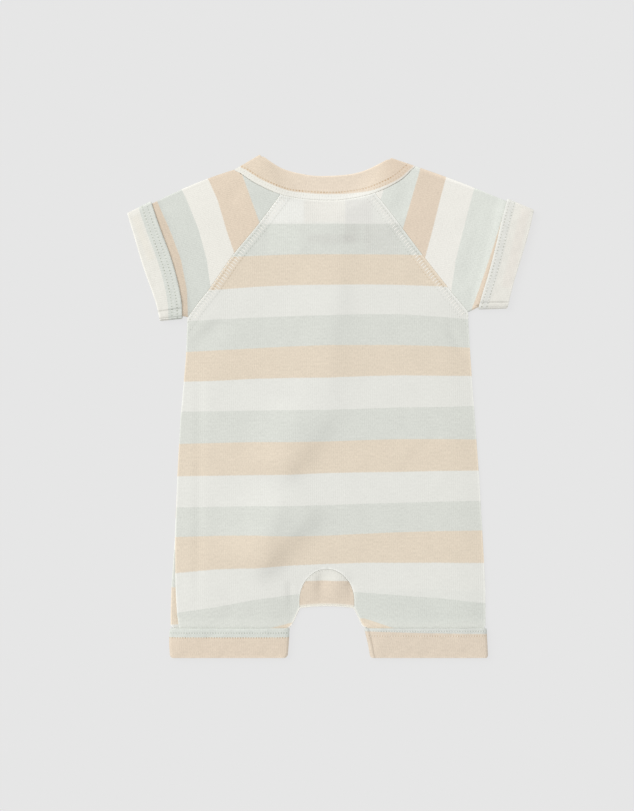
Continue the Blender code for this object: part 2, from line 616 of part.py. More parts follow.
def build():
    """Clears the scene and makes each piece."""
    for old in list(bpy.data.objects):
        bpy.data.objects.remove(old)
    cream, sage, beige = (0.80, 0.81, 0.76), (0.69, 0.71, 0.67), (0.73, 0.61, 0.48)
    back_body(cloth("striped_jersey_back", cream))
    front_left = front_body("left", cloth("striped_jersey_front_left", cream))
    front_body("right", cloth("striped_jersey_front_right", cream))
    for side in ("left", "right"):
        sleeve(side, cloth(f"striped_jersey_sleeve_{side}", sage))
        sleeve_cuff(side, cloth(f"jersey_sleeve_cuff_{side}", cream))
        leg_cuff(side, cloth(f"jersey_leg_cuff_{side}", beige))
    gusset(cloth("jersey_gusset", beige))
    band = neckband(cloth("jersey_neckband", beige))
    press_studs(band, front_left, cloth("enamelled_press_stud", cream, 0.35))


build()
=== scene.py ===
"""The looks of a baby's short-sleeved romper in striped cotton jersey, laid flat with its back up.

Metres, +Z up, +Y from the leg cuffs to the neck, +X to the right of the back as it lies.
Outlines are written in millimetres; the functions that read them turn them to metres.
"""
import math

import bmesh
import bpy
import numpy as np
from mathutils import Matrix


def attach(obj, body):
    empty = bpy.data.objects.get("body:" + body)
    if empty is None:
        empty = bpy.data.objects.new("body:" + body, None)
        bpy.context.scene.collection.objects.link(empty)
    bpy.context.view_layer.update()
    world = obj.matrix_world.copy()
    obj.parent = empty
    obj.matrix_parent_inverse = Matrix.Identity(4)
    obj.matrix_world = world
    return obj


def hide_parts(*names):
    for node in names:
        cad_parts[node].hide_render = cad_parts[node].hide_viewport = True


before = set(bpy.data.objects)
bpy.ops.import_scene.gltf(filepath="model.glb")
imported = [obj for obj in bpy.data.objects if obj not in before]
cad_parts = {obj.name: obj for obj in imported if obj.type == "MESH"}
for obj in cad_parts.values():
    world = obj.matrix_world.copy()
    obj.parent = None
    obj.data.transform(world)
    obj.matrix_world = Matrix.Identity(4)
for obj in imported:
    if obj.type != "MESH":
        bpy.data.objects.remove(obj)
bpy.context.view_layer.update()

# ------------------------------
# The two fronts: striped cotton jersey, each cut with half of the front neck and one leg. They lie
# underneath, flat on the surface. The left one laps over the right down the centre front, where
# two rows of stitching hold its turned edge.
# ------------------------------
MM = 0.001
WALL = 1.2 * MM            # one layer of jersey with its pile
GAP = 0.3 * MM             # between neighbouring pieces
SEAM_CLEAR = 0.08 * MM     # from a seam's line to the edge of a body panel
SIGN = {"left": -1.0, "right": 1.0}     # of x on each side
LAP_LEFT, LAP_RIGHT = -3.0 * MM, 10.0 * MM
LAP_FOOT, LAP_RAMP = -126.0 * MM, 7.0 * MM
LAP_ROWS = (2.0, 11.5)     # rows of stitching, mm from the lap's edge
STUDS = np.array([(3.5, 143.5 - 42.0 * index) for index in range(7)]) * MM      # their centres
STUD_PRESS, STUD_REACH = 0.75 * MM, (4.5 * MM, 6.8 * MM)    # how they lift the cloth over them
GUSSET_X, GUSSET_HALF_WIDTH = -3.0 * MM, 22.5 * MM
GUSSET_RISE, GUSSET_SPRING, CROTCH_Y = 26.3 * MM, -160.0 * MM, -163.6 * MM      # its arch and fold
LEG_CUFF_TOP, LEG_END, CUFF_WALL, CUFF_RAMP = -182.0 * MM, -206.0 * MM, 1.5 * MM, 8.0 * MM
PANEL_ROWS, PANEL_COLUMNS = 2.0 * MM, {"front": 34, "back": 46}      # rows' spacing, even columns
ROW_BEND = 45.0 * MM       # how far down a panel its rows still follow the curve of its top
STRIPE = 25.4 * MM         # one stripe of the cloth: sage, beige, cream and again
FRONT_SHIFT = -34.5 * MM   # the fronts are cut from another place of the striped cloth than the back
STITCH_PITCH = 2.6         # mm, in most rows of stitches
EDGE_STEPS = (0.0, 0.08, 0.25, 0.5, 0.85, 1.4, 2.2)     # columns close to a cut edge, in mm
LAP_STEPS = EDGE_STEPS + (4.0, 6.0, 8.0, 10.0, 12.0, 13.2, 14.5, 16.0, 18.0, 20.5)


def table(columns, *rows):
    """Rows of millimetres as one array of metres for each named column."""
    return {name: np.array(column) * MM for name, column in zip(columns.split(), zip(*rows))}


def at_height(sizes, name, y):
    """The named column of a table at the heights y; the table goes from its highest y down."""
    return np.interp(-y, -sizes["y"], sizes[name])


def curve(*points, samples=12):
    """A smooth path through points in millimetres, by Catmull-Rom: each span is a cubic whose ends
    lean along the line between the points on either side."""
    knots = np.array(points, dtype=float)
    knots = np.vstack([2 * knots[0] - knots[1], knots, 2 * knots[-1] - knots[-2]])
    t = np.linspace(0.0, 1.0, samples, endpoint=False)[:, None]
    spans = [b + 0.5 * t * (c - a + t * (2 * a - 5 * b + 4 * c - d + t * (3 * b - a - 3 * c + d)))
             for a, b, c, d in zip(knots, knots[1:], knots[2:], knots[3:])]
    return np.vstack(spans + [knots[-2:-1]]) * MM


def step(value, start, end):
    """Rises smoothly from 0 at start to 1 at end: three times the square less twice the cube."""
    t = np.clip((value - start) / (end - start), 0.0, 1.0)
    return t * t * (3.0 - 2.0 * t)


def blend(start, end, share):
    """The point or value at a share of the way from start to end."""
    return start + (end - start) * share


def bell(away, width):
    """1 at a line and less beside it: e to the minus square of the distance in widths."""
    return np.exp(-(away / width) ** 2)


def pair(first, second):
    """Two values of each point side by side, such as its x and y."""
    return np.stack(np.broadcast_arrays(first, second), axis=-1)


def unit(run):
    """The direction of each run: the run over its length."""
    return run / np.linalg.norm(run, axis=-1, keepdims=True)


def nearest(xy, path):
    """For each point in plan: its distance from a path, and how far along the path that place is.
    The points are taken in blocks, so that the table of points by spans stays small."""
    run = np.diff(path, axis=0)
    length = np.maximum(np.linalg.norm(run, axis=1), 1e-9)      # a span of no length divides nothing
    begin = np.cumsum(length) - length
    away, place = [], []
    for block in np.array_split(xy.reshape(-1, 2), max(1, xy.size // 16000)):
        offset = block[:, None] - path[:-1]
        share = np.clip((offset * run).sum(-1) / length ** 2, 0.0, 1.0)
        distance = np.linalg.norm(offset - share[..., None] * run, axis=-1)
        pick = np.arange(len(block)), distance.argmin(-1)
        away.append(distance[pick])
        place.append(begin[pick[1]] + share[pick] * length[pick[1]])
    return np.concatenate(away).reshape(xy.shape[:-1]), np.concatenate(place).reshape(xy.shape[:-1])


def at_y(path, y):
    """x where a path that only goes down passes the heights y."""
    return np.interp(-y, -path[:, 1], path[:, 0])


def at_x(path, x):
    """y where a path that runs from left to right passes x."""
    return np.interp(x, path[:, 0], path[:, 1])


BAND_FOOT_FRONT = curve((-78.8, 194.2), (-70.5, 172.0), (-56.5, 151.0), (-35.0, 137.5), (-4.0, 133.0),
                        (27.0, 137.5), (48.5, 151.0), (61.5, 172.0), (69.6, 197.0))
RAGLAN_FRONT = {"left": curve((-50.0, 146.0), (-66.0, 128.5), (-84.0, 108.5), (-101.0, 89.5), (-116.9, 73.0)),
                "right": curve((42.0, 146.0), (58.0, 129.0), (78.0, 109.5), (96.0, 92.0), (113.2, 77.0))}
SIDES = table(
    "y back_left front_left right",
    (70.0, -117.4, -117.4, 113.0),
    (38.0, -118.8, -118.8, 115.0),
    (-12.0, -123.3, -123.3, 118.6),
    (-61.0, -125.9, -125.9, 122.2),
    (-110.0, -127.4, -128.0, 125.0),
    (-147.0, -127.3, -130.6, 127.0),
    (-171.0, -126.0, -131.3, 127.2),
    (-180.5, -124.4, -131.2, 127.2),
    (-181.6, -124.2, -129.3, 125.8),
    (-203.0, -122.4, -129.5, 126.9),
    (-206.0, -122.2, -128.4, 126.0))
INSEAMS = table(
    "y left right",
    (-165.6, -25.8, 19.8),
    (-171.4, -28.6, 22.6),
    (-177.0, -31.2, 25.2),
    (-180.5, -32.8, 26.8),
    (-181.6, -35.8, 30.2),
    (-196.0, -36.6, 33.1),
    (-203.0, -37.3, 34.3),
    (-206.0, -38.6, 35.4))

# Where one stripe of the back changes to the next, at nine places across. The first change is from
# cream to sage, and each next row is the next change further down.
STRIPE_X = np.array([-127.5, -94.7, -61.9, -33.2, -2.9, 28.3, 57.0, 89.8, 124.2]) * MM
STRIPE_EDGES = np.array([
    (149.5, 149.5, 149.5, 149.5, 149.5, 149.5, 149.5, 149.5, 149.5),
    (121.4, 121.8, 123.0, 124.2, 124.3, 124.3, 124.1, 123.4, 122.2),
    (94.3, 95.1, 97.6, 99.0, 99.2, 99.6, 99.2, 98.0, 95.1),
    (69.1, 71.1, 72.6, 73.8, 74.6, 75.4, 75.4, 73.4, 70.2),
    (43.9, 45.5, 47.2, 48.8, 49.9, 50.0, 50.0, 49.2, 47.2),
    (19.7, 20.6, 22.3, 23.0, 23.2, 24.5, 25.2, 24.8, 24.6),
    (-4.5, -4.1, -3.4, -3.2, -2.8, -2.0, -0.9, -0.7, 0.4),
    (-31.2, -30.3, -29.5, -29.5, -29.1, -27.9, -27.1, -27.1, -27.5),
    (-57.7, -57.2, -56.7, -56.3, -54.9, -54.3, -54.0, -53.2, -53.0),
    (-83.1, -82.5, -81.7, -81.7, -80.9, -79.9, -79.2, -78.2, -77.6),
    (-107.4, -106.4, -105.8, -106.6, -106.2, -104.6, -103.3, -102.5, -102.1),
    (-137.2, -133.9, -132.8, -130.8, -129.4, -128.4, -128.5, -128.4, -128.8),
    (-169.7, -164.8, -158.7, -155.0, -150.9, -152.9, -155.0, -157.4, -161.4),
    (-196.8, -191.9, -185.3, -177.9, -173.0, -174.3, -183.7, -186.1, -188.6)]) * MM


def between(lines, place):
    """Of rising lines, the number of the next one beyond a place, and the share of the way to it from
    the line before. Past the first and the last line the share runs on."""
    index = np.clip((lines <= place).sum(0), 1, len(lines) - 1)
    start, end = (np.take_along_axis(lines, index[None] - back, 0)[0] for back in (1, 0))
    return index, (place - start) / (end - start)


def stripe_run(xy, shift=0.0):
    """How far down the cloth a place lies, counted from the first change of stripe. Between two
    changes it runs evenly; above the first and below the last, one stripe follows another."""
    x, y = xy[..., 0], xy[..., 1]
    edges = np.stack([np.interp(x, STRIPE_X, row) for row in STRIPE_EDGES])
    added = 3
    more = STRIPE * np.arange(1, added + 1).reshape(-1, *[1] * x.ndim)
    edges = np.concatenate([edges[:1] + more[::-1], edges, edges[-1:] - more])
    index, share = between(-edges, -y)
    return (index - added - 1 + share) * STRIPE + shift


def soften(outer, inner, away, wall, seat=0.5, reach=0.7):
    """Rounds a layer off toward its edge: at a distance from the edge its thickness is that of a
    quarter ellipse as long as reach walls, and beyond that it is whole. Its two skins meet at the
    share seat of the way from the inner to the outer one."""
    share = np.sqrt(1.0 - (1.0 - np.clip(away / (reach * wall), 0.0, 1.0)) ** 2)[..., None]
    meet = blend(inner, outer, np.broadcast_to(seat, away.shape)[..., None])
    return blend(meet, outer, share), blend(meet, inner, share)


def edge_light(away):
    """Tint near an edge: the raised pile on a fold catches the light, up to 18% more at the edge."""
    return 1.0 + 0.18 * bell(away, 0.9 * MM)[..., None]


def lift(xy, height):
    """Points in plan at a height."""
    return np.concatenate([xy, np.broadcast_to(height, xy.shape[:-1])[..., None]], axis=-1)


def link_mesh(name, points, faces):
    """A smooth object, at the origin, of points and faces."""
    mesh = bpy.data.meshes.new(name)
    mesh.from_pydata(points, [], faces)
    mesh.shade_smooth()
    piece = bpy.data.objects.new(name, mesh)
    bpy.context.scene.collection.objects.link(piece)
    return piece


def cloth_mesh(name, *grids):
    """One closed shell of cloth. Each grid has its outer and inner points, its place on the cloth
    (across, along), its place at a seam (along it, from it) and its tint; the two skins and the
    grids are joined wherever they share an edge."""
    points, faces, maps, tints, count = [], [], [], [], 0
    for outer, inner, flat, seam, tint in grids:
        index = np.arange(outer[..., 0].size).reshape(outer.shape[:2])
        corners = index[:-1, :-1], index[1:, :-1], index[1:, 1:], index[:-1, 1:]
        quad = np.stack(corners, axis=-1).reshape(-1, 4)
        for skin, turned in ((outer, quad), (inner, quad[:, ::-1])):
            faces.append(turned + count)
            points.append(skin.reshape(-1, 3))
            maps.append(np.concatenate([flat, seam], axis=-1).reshape(-1, 4))
            tints.append(np.broadcast_to(tint, skin.shape).reshape(-1, 3))
            count += index.size
    piece = link_mesh(name, np.concatenate(points), np.concatenate(faces))
    mesh = piece.data
    corner = np.empty(len(mesh.loops), dtype=np.int32)
    mesh.loops.foreach_get("vertex_index", corner)
    placed = np.concatenate(maps)[corner].astype(np.float32)
    for name, columns in (("cloth", placed[:, :2]), ("seam", placed[:, 2:])):
        mesh.uv_layers.new(name=name).uv.foreach_set("vector", columns.ravel())
    shade = np.insert(np.concatenate(tints)[corner], 3, 1.0, axis=1).astype(np.float32)
    tint = mesh.color_attributes.new(name="tint", type="FLOAT_COLOR", domain="CORNER")
    tint.data.foreach_set("color", shade.ravel())
    work = bmesh.new()
    work.from_mesh(mesh)
    bmesh.ops.remove_doubles(work, verts=work.verts, dist=0.002 * MM)
    bmesh.ops.recalc_face_normals(work, faces=work.faces)
    work.to_mesh(mesh)
    work.free()
    mesh.shade_smooth()
    return piece


def linear(colour):
    """The linear colour of an sRGB hex value."""
    parts = np.array([int(colour[k:k + 2], 16) for k in (0, 2, 4)]) / 255
    return tuple(np.where(parts <= 0.04045, parts / 12.92, ((parts + 0.055) / 1.055) ** 2.4)) + (1.0,)


def blank(name):
    """A new material and its empty tree."""
    material = bpy.data.materials.new(name)
    material.use_nodes = True
    material.node_tree.nodes.clear()
    return material, material.node_tree


def add(tree, kind, inputs=(), **settings):
    """Adds a node of a kind with its settings and its inputs, in order or by name. Each input is a
    value, a socket, or a node, whose first output it takes."""
    node = tree.nodes.new("ShaderNode" + kind)
    for name, value in settings.items():
        setattr(node, name, value)
    for name, value in inputs.items() if isinstance(inputs, dict) else enumerate(inputs):
        value = value.outputs[0] if isinstance(value, bpy.types.Node) else value
        if isinstance(value, bpy.types.NodeSocket):
            tree.links.new(value, node.inputs[name])
        else:
            node.inputs[name].default_value = value
    return node


def jersey(piece, sage="D9DBD4", beige="E2D5C2", cream="E5E5DF", holes=()):
    """Brushed cotton jersey with knitted-in stripes. Cotton: IOR 1.5, rough, no gloss but a soft
    sheen from its raised fibre. Its wales are about 0.9 mm apart and its courses 0.7 mm, finer than
    what shows, so the ribs are drawn 1.7 mm apart and the stitches 1.4 mm. Rows of needle holes lie
    at distances from the seam; each has its distance, pitch, radius (mm), depth and offset. In a hole
    the cloth's colour is raised to a higher power, painted shade that makes it darker and fuller, as
    in a fold."""
    material, tree = blank("brushed_striped_cotton_jersey_of_" + piece)
    place = add(tree, "UVMap", uv_map="cloth")
    across, down, _ = add(tree, "SeparateXYZ", (place,)).outputs
    drawn_out, along_course = (add(tree, "Mapping", {"Vector": place, "Scale": scale})
                               for scale in ((1.0, 0.45, 1.0), (0.2, 1.0, 1.0)))
    yarn, fibre, cloud, slub = (add(tree, "TexNoise", {"Vector": where, "Scale": scale, "Detail": detail})
                                for where, scale, detail in ((place, 900.0, 2.0), (drawn_out, 1100.0, 3.0),
                                                             (place, 60.0, 4.0), (along_course, 650.0, 3.0)))
    # Single yarns cross the change of colour unevenly, by a few tenths of a millimetre.
    uneven = add(tree, "Math", (yarn, 0.5), operation="SUBTRACT")
    edge = add(tree, "Math", (uneven, 1.2 * MM, down), operation="MULTIPLY_ADD")
    turns = add(tree, "Math", (edge, 3 * STRIPE), operation="DIVIDE")
    stripes = add(tree, "ValToRGB", (add(tree, "Math", (turns,), operation="FRACT"),))
    # The ramp's alpha says how uneven each colour of yarn is: the dyed ones are more so than the cream.
    soft, plain, mottled, flecked = 0.005, 0.55, 0.9, 1.0
    stops = ((0.0, cream, plain), (soft, sage, mottled), (1 / 3 - soft, sage, mottled),
             (1 / 3 + soft, beige, flecked), (2 / 3 - soft, beige, flecked), (2 / 3 + soft, cream, plain))
    for position, _, _ in stops[2:]:
        stripes.color_ramp.elements.new(position)
    for element, (position, colour, share) in zip(stripes.color_ramp.elements, stops):
        element.position = position
        element.color = linear(colour)[:3] + (share,)
    # Each wale is a rounded rib, and its stitches slope up to its middle in a V.
    half_wale, course = 0.85 * MM, 1.4 * MM
    slope = add(tree, "Math", (across, half_wale), operation="PINGPONG")
    slope = add(tree, "Math", (slope, half_wale), operation="DIVIDE")
    rib = add(tree, "Math", (slope, slope), operation="MULTIPLY")
    rib = add(tree, "Math", (1.0, rib), operation="SUBTRACT")
    lean = add(tree, "Math", (down, 2 * math.pi / course), operation="MULTIPLY")
    lean = add(tree, "Math", (slope, 0.45 * 2 * math.pi, lean), operation="MULTIPLY_ADD")
    stitch = add(tree, "Math", (lean,), operation="SINE")
    stitch = add(tree, "Math", (stitch, 0.25, 0.75), operation="MULTIPLY_ADD")
    knit = add(tree, "Math", (rib, stitch), operation="MULTIPLY")
    relief = add(tree, "Math", (fibre, 0.9, knit), operation="MULTIPLY_ADD")
    # Light between the ribs is a little lower, and the yarn is uneven: finely, in short streaks along
    # the courses, and in broad clouds. All of it together is 1 on average.
    light = 0.755
    for pattern, strength in ((knit, 0.03), (fibre, 0.28), (slub, 0.11), (cloud, 0.06)):
        light = add(tree, "Math", (pattern, strength, light), operation="MULTIPLY_ADD")
    contrast = add(tree, "Math", (stripes.outputs["Alpha"], 1.15), operation="MULTIPLY")
    light = add(tree, "Math", (light, contrast), operation="POWER")
    at_seam = add(tree, "UVMap", uv_map="seam")
    along_seam, from_seam, _ = add(tree, "SeparateXYZ", (at_seam,)).outputs
    # Painted shade in the needle holes: there the cloth's colour is raised to a higher power.
    hole_shade_power, sewn = 1.0, add(tree, "TexNoise", {"Vector": at_seam, "Scale": 90.0, "Detail": 3.0})
    for away, pitch, radius, depth, offset in holes:
        turn = add(tree, "Math", (along_seam, 1.0 / (pitch * MM), offset), operation="MULTIPLY_ADD")
        turn = add(tree, "Math", (turn,), operation="FRACT")
        run = add(tree, "Math", (turn, pitch * MM, -0.5 * pitch * MM), operation="MULTIPLY_ADD")
        off = add(tree, "Math", (from_seam, away * MM), operation="SUBTRACT")
        reach = add(tree, "VectorMath", (add(tree, "CombineXYZ", (run, off)),), operation="LENGTH")
        dimple = add(tree, "MapRange", (reach.outputs["Value"], 0.3 * radius * MM, radius * MM, 1.0, 0.0),
                     interpolation_type="SMOOTHSTEP")
        deep = add(tree, "Math", (sewn, 4.0 * depth, -depth), operation="MULTIPLY_ADD")
        hole_shade_power = add(tree, "Math", (dimple, deep, hole_shade_power), operation="MULTIPLY_ADD")
        relief = add(tree, "Math", (dimple, -2.0, relief), operation="MULTIPLY_ADD")
    tint = add(tree, "VertexColor", layer_name="tint")
    dyed = add(tree, "Gamma", (add(tree, "VectorMath", (stripes, tint), operation="MULTIPLY"), hole_shade_power))
    colour = add(tree, "VectorMath", {"Vector": dyed, "Scale": light}, operation="SCALE")
    bump = add(tree, "Bump", {"Strength": 0.4, "Distance": 0.25 * MM, "Height": relief})
    rough = add(tree, "Math", (fibre, 0.1, 0.82), operation="MULTIPLY_ADD")
    shader = add(tree, "BsdfPrincipled",
                 {"Base Color": colour, "Roughness": rough, "IOR": 1.5, "Specular IOR Level": 0.2,
                  "Sheen Weight": 0.3, "Sheen Roughness": 0.4, "Normal": bump})
    add(tree, "OutputMaterial", (shader,))
    return material


def place_piece(piece, material, slot, *nodes):
    """Gives a piece its material, puts it on the garment's one body and hides the solids that it
    stands for. slot is not used."""
    piece.data.materials.append(material)
    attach(piece, "root")
    if nodes:
        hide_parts(*nodes)
    return piece


def fine(length, first, last, count):
    """Places along lengths: those of first (mm) from the start, those of last from the end, and
    between them a count of even ones."""
    length = np.asarray(length)[..., None]
    start, end = np.array(first) * MM, np.array(last)[::-1] * MM
    middle = blend(start[-1], length - end[0], np.linspace(0.0, 1.0, count + 2)[1:-1])
    start = np.broadcast_to(start, length.shape[:-1] + start.shape)
    return np.concatenate([start, middle, length - end], axis=-1)


def gusset_half_width(y, margin):
    """Half the width of the gusset's arch at a height: half an ellipse, with a margin all round."""
    share = np.clip((y - GUSSET_SPRING) / (GUSSET_RISE + margin), 0.0, 1.0)
    return (GUSSET_HALF_WIDTH + margin) * np.sqrt(1.0 - share ** 2) * (share < 0.99999)


ARCH_TOP = GUSSET_SPRING + GUSSET_RISE + SEAM_CLEAR


def body_rows(top, extra=()):
    """Heights of a body panel's rows: 2 mm apart, closer at its ends and round the gusset's arch."""
    arch = GUSSET_SPRING + (GUSSET_RISE + SEAM_CLEAR) * np.cos(np.radians(np.arange(0.0, 90.0, 6.0)))
    even = np.concatenate([np.arange(top - 3.0 * MM, ARCH_TOP + 1.5 * MM, -PANEL_ROWS),
                           np.arange(GUSSET_SPRING, LEG_END + 2.0 * MM, -0.9 * PANEL_ROWS)])
    ends = np.concatenate([top - np.array(EDGE_STEPS) * MM, ARCH_TOP + np.array([0.25, 0.7]) * MM,
                           LEG_END + np.array([1.2, 0.7, 0.3, 0.1, 0.0]) * MM])
    return np.unique(np.round(np.concatenate([even, arch, ends, extra]), 7))[::-1]


def leg_rise(y):
    """How far a leg's front is lifted by the cuff that goes under it."""
    return (CUFF_WALL + GAP) * step(-y, -LEG_CUFF_TOP - CUFF_RAMP, -LEG_CUFF_TOP - GAP)


def inner_edge(y, side):
    """x of a panel's inner edge: the middle, then round the gusset, then the inner leg."""
    arch = GUSSET_X + SIGN[side] * gusset_half_width(y, SEAM_CLEAR)
    return np.where(y >= INSEAMS["y"][0], arch, at_height(INSEAMS, side, y))


def panel_plan(side, y, inner, raglan, column, foot, near_inner, near_seam, count):
    """Plan of a body panel, row by row, from its inner edge out to the raglan seam and then the side
    seam. The top row follows the foot of the neckband, and the rows below it soon run straight."""
    sign = SIGN[side]
    corner_y = at_x(foot, raglan[0, 0] - sign * SEAM_CLEAR) - SEAM_CLEAR
    rise = (corner_y - y[0]) * (1.0 - step(y[0] - y, 0.0, ROW_BEND))
    seam = at_y(raglan, y + rise) - sign * SEAM_CLEAR
    outer = np.where(y + rise >= raglan[-1, 1] - GAP, seam, at_height(SIDES, column, y))
    x = inner[:, None] + sign * fine(np.abs(outer - inner), near_inner, near_seam, count)
    shape = (at_x(foot, x[0]) - SEAM_CLEAR - y[0]) / (corner_y - y[0])
    return pair(x, y[:, None] + rise[:, None] * shape)


def stud_press(xy):
    """How far the press studs push the outer layer up, evenly over each cap and less round it."""
    away = np.linalg.norm(xy[..., None, :] - STUDS, axis=-1).min(-1)
    return STUD_PRESS * (1.0 - step(away, *STUD_REACH))


def front(side):
    """A front panel's shell, a wall thick, on the surface: the left one is pressed in over the studs,
    and the right one rises onto the lap."""
    lap_edge, column = {"left": (LAP_RIGHT, "front_left"), "right": (LAP_LEFT, "right")}[side]
    foot_rows = LAP_FOOT + np.array([0.85, 0.5, 0.25, 0.08, 0.0, -0.05]) * MM
    y = body_rows(at_x(BAND_FOOT_FRONT, lap_edge) - SEAM_CLEAR, foot_rows)
    below_lap = np.where(y > ARCH_TOP, GUSSET_X + SIGN[side] * GAP / 3, inner_edge(y, side))
    inner = np.where(y >= LAP_FOOT - 0.01 * MM, lap_edge, below_lap)
    xy = panel_plan(side, y, inner, RAGLAN_FRONT[side], column, BAND_FOOT_FRONT, LAP_STEPS, EDGE_STEPS,
                    PANEL_COLUMNS["front"])
    low = leg_rise(xy[..., 1])
    press = np.zeros_like(low)
    if side == "left":
        press = stud_press(xy)
    else:
        beside = 1.0 - step(xy[..., 0], LAP_RIGHT + GAP, LAP_RIGHT + LAP_RAMP)
        low = low + (WALL + GAP) * beside * step(xy[..., 1], LAP_FOOT - LAP_RAMP, LAP_FOOT - 1.3 * GAP)
    border = np.vstack([xy[0], xy[1:, -1], xy[-1, ::-1], xy[::-1, 0]])
    away = nearest(xy, border)[0]
    outer, inner_skin = soften(lift(xy, low + press), lift(xy, low + WALL), away, WALL)
    flat = pair(xy[..., 0], stripe_run(xy, FRONT_SHIFT))
    seam = pair(xy[..., 1], np.abs(xy[..., 0] - inner[:, None]))
    return cloth_mesh(f"front_{side}", (outer, inner_skin, flat, seam, edge_light(away)))


front_jersey = jersey("fronts", holes=[(away, STITCH_PITCH, 0.5, 0.6, row / 2)
                                       for row, away in enumerate(LAP_ROWS)])
front_left = place_piece(front("left"), front_jersey, "striped_jersey", "front_body_left")
front_right = place_piece(front("right"), front_jersey, "striped_jersey", "front_body_right")

# ------------------------------
# The press studs: seven enamelled caps down the outer lap, each a shallow turned dish pressed onto
# the cloth from outside, face down on the surface.
# ------------------------------
CAP = np.array([(0.0, 0.14), (1.4, 0.13), (2.5, 0.10), (2.9, 0.02), (3.7, 0.0), (4.2, 0.08), (4.5, 0.3),
                (4.6, 0.55), (4.5, 0.8), (4.2, 0.9), (2.2, 0.92), (0.0, 0.92)]) * MM   # radius, height


def ring_grid(count, sides):
    """Numbers of the points of a stack of rings, of the next points round them, and the faces with
    four corners between neighbouring rings."""
    index = np.arange(count * sides).reshape(count, sides)
    near = np.roll(index, -1, axis=1)
    return index, near, np.stack([index[:-1], near[:-1], near[1:], index[1:]], axis=-1).reshape(-1, 4)


def copies(name, points, *parts):
    """One object of many shapes that are alike: each has a row of the points, and the parts are the
    faces of the first one."""
    start = (np.arange(len(points)) * points.shape[1])[:, None, None]
    faces = [list(row) for part in parts for row in (part + start).reshape(-1, part.shape[-1])]
    return link_mesh(name, points.reshape(-1, 3), faces)


def turned_caps(name, centres, profile, sides=32):
    """Joined caps: the profile (radius, height) turned round each centre, sides to a turn."""
    angle = np.arange(sides) * 2 * math.pi / sides
    turned = lift(profile[1:-1, None, :1] * pair(np.cos(angle), np.sin(angle)), profile[1:-1, 1:])
    poles = np.array([(0.0, 0.0, profile[0, 1]), (0.0, 0.0, profile[-1, 1])])
    cap = np.concatenate([turned.reshape(-1, 3), poles])
    index, near, walls = ring_grid(len(turned), sides)
    face = np.stack([np.full(sides, len(cap) - 2), near[0], index[0]], axis=-1)
    back = np.stack([np.full(sides, len(cap) - 1), index[-1], near[-1]], axis=-1)
    return copies(name, cap + lift(centres, 0.0)[:, None], walls, face, back)


def enamel(name, colour):
    """Baked enamel on pressed brass: a smooth coat, IOR 1.5, with a faint orange-peel unevenness."""
    material, tree = blank(name)
    place = add(tree, "TexCoord").outputs["Object"]
    peel = add(tree, "TexNoise", {"Vector": place, "Scale": 1400.0, "Detail": 2.0})
    bump = add(tree, "Bump", {"Strength": 0.1, "Distance": 0.05 * MM, "Height": peel})
    rough = add(tree, "Math", (peel, 0.12, 0.2), operation="MULTIPLY_ADD")
    shader = add(tree, "BsdfPrincipled",
                 {"Base Color": linear(colour), "Roughness": rough, "IOR": 1.5, "Normal": bump})
    add(tree, "OutputMaterial", (shader,))
    return material


place_piece(turned_caps("press_stud_caps", STUDS, CAP), enamel("baked_enamel_on_brass", "E6E4DA"),
            "press_stud", *[f"press_stud_{index + 1}" for index in range(len(STUDS))])

# ------------------------------
# The back: one panel of the same jersey with the backs of both legs. It lies loosely on the fronts,
# with long soft folds, and sinks into the front neck opening. Along each raglan seam the edges are
# joined flat and cover-stitched, which raises a narrow band.
# ------------------------------
LOFT = 2.2 * MM            # how far the back stands off the front, away from the outline
EDGE_ROUND, EDGE_POWER = 15.0 * MM, 1.5      # how far in from the outline it rises, and how roundly
CREASE_FADE = 0.3          # share of a fold's length over which it rises, and dies away
SEWN_EDGE = 0.75, 0.4      # seat and reach of the rounding of an edge that is sewn flat
BAND_WALL = 1.7 * MM       # neckband, folded double
NECK_CENTRE, NECK_HALF = np.array([-4.0, 200.0]) * MM, np.array([50.0, 46.0]) * MM
NECK_SLOPE = 0.62, 0.98    # where the back rises out of the front neck opening, in shares of it
NECK_LOFT = 0.25           # the share of its loft that it keeps there
OVER_BAND = 14.0 * MM, 26.0 * MM     # from the front neckband's middle, where the back rises onto it
SEAM_BAND, SEAM_BAND_RISE = 8.0 * MM, 0.2 * MM
DRAWN_ON = 10.0            # short runs of its path by which a raglan seam's line is drawn on
RAGLAN_BACK = {"left": curve((-41.2, 173.0), (-59.0, 149.3), (-79.6, 124.3), (-98.2, 97.5), (-108.4, 84.7),
                             (-116.9, 73.0)),
               "right": curve((36.6, 174.4), (46.2, 162.8), (58.4, 146.6), (77.7, 120.9), (97.2, 96.0),
                              (113.2, 77.0))}
BAND_TOP_BACK = curve((-57.8, 206.5), (-39.8, 195.2), (-19.3, 189.9), (-3.7, 189.0), (16.0, 190.4),
                      (30.8, 194.5), (49.6, 203.8))
BAND_FOOT_BACK = curve((-78.8, 194.2), (-60.3, 181.9), (-40.0, 173.2), (-20.0, 169.9), (0.0, 168.9),
                       (16.0, 170.2), (36.5, 174.8), (57.0, 184.8), (69.6, 197.0))
BAND_TOP_FRONT = curve((-57.8, 206.5), (-53.0, 188.0), (-43.5, 171.0), (-27.0, 158.5), (-4.0, 153.8),
                       (19.0, 158.5), (35.5, 171.0), (44.5, 188.0), (49.6, 203.8))
CUFF_FOLD = {"left": curve((-147.2, 168.1), (-139.8, 146.4), (-131.6, 124.6), (-125.6, 104.1), (-122.0, 85.6),
                           (-121.4, 71.4)),
             "right": curve((145.1, 170.2), (140.6, 154.2), (135.2, 131.2), (129.7, 109.9), (124.2, 91.8),
                            (120.7, 79.0))}
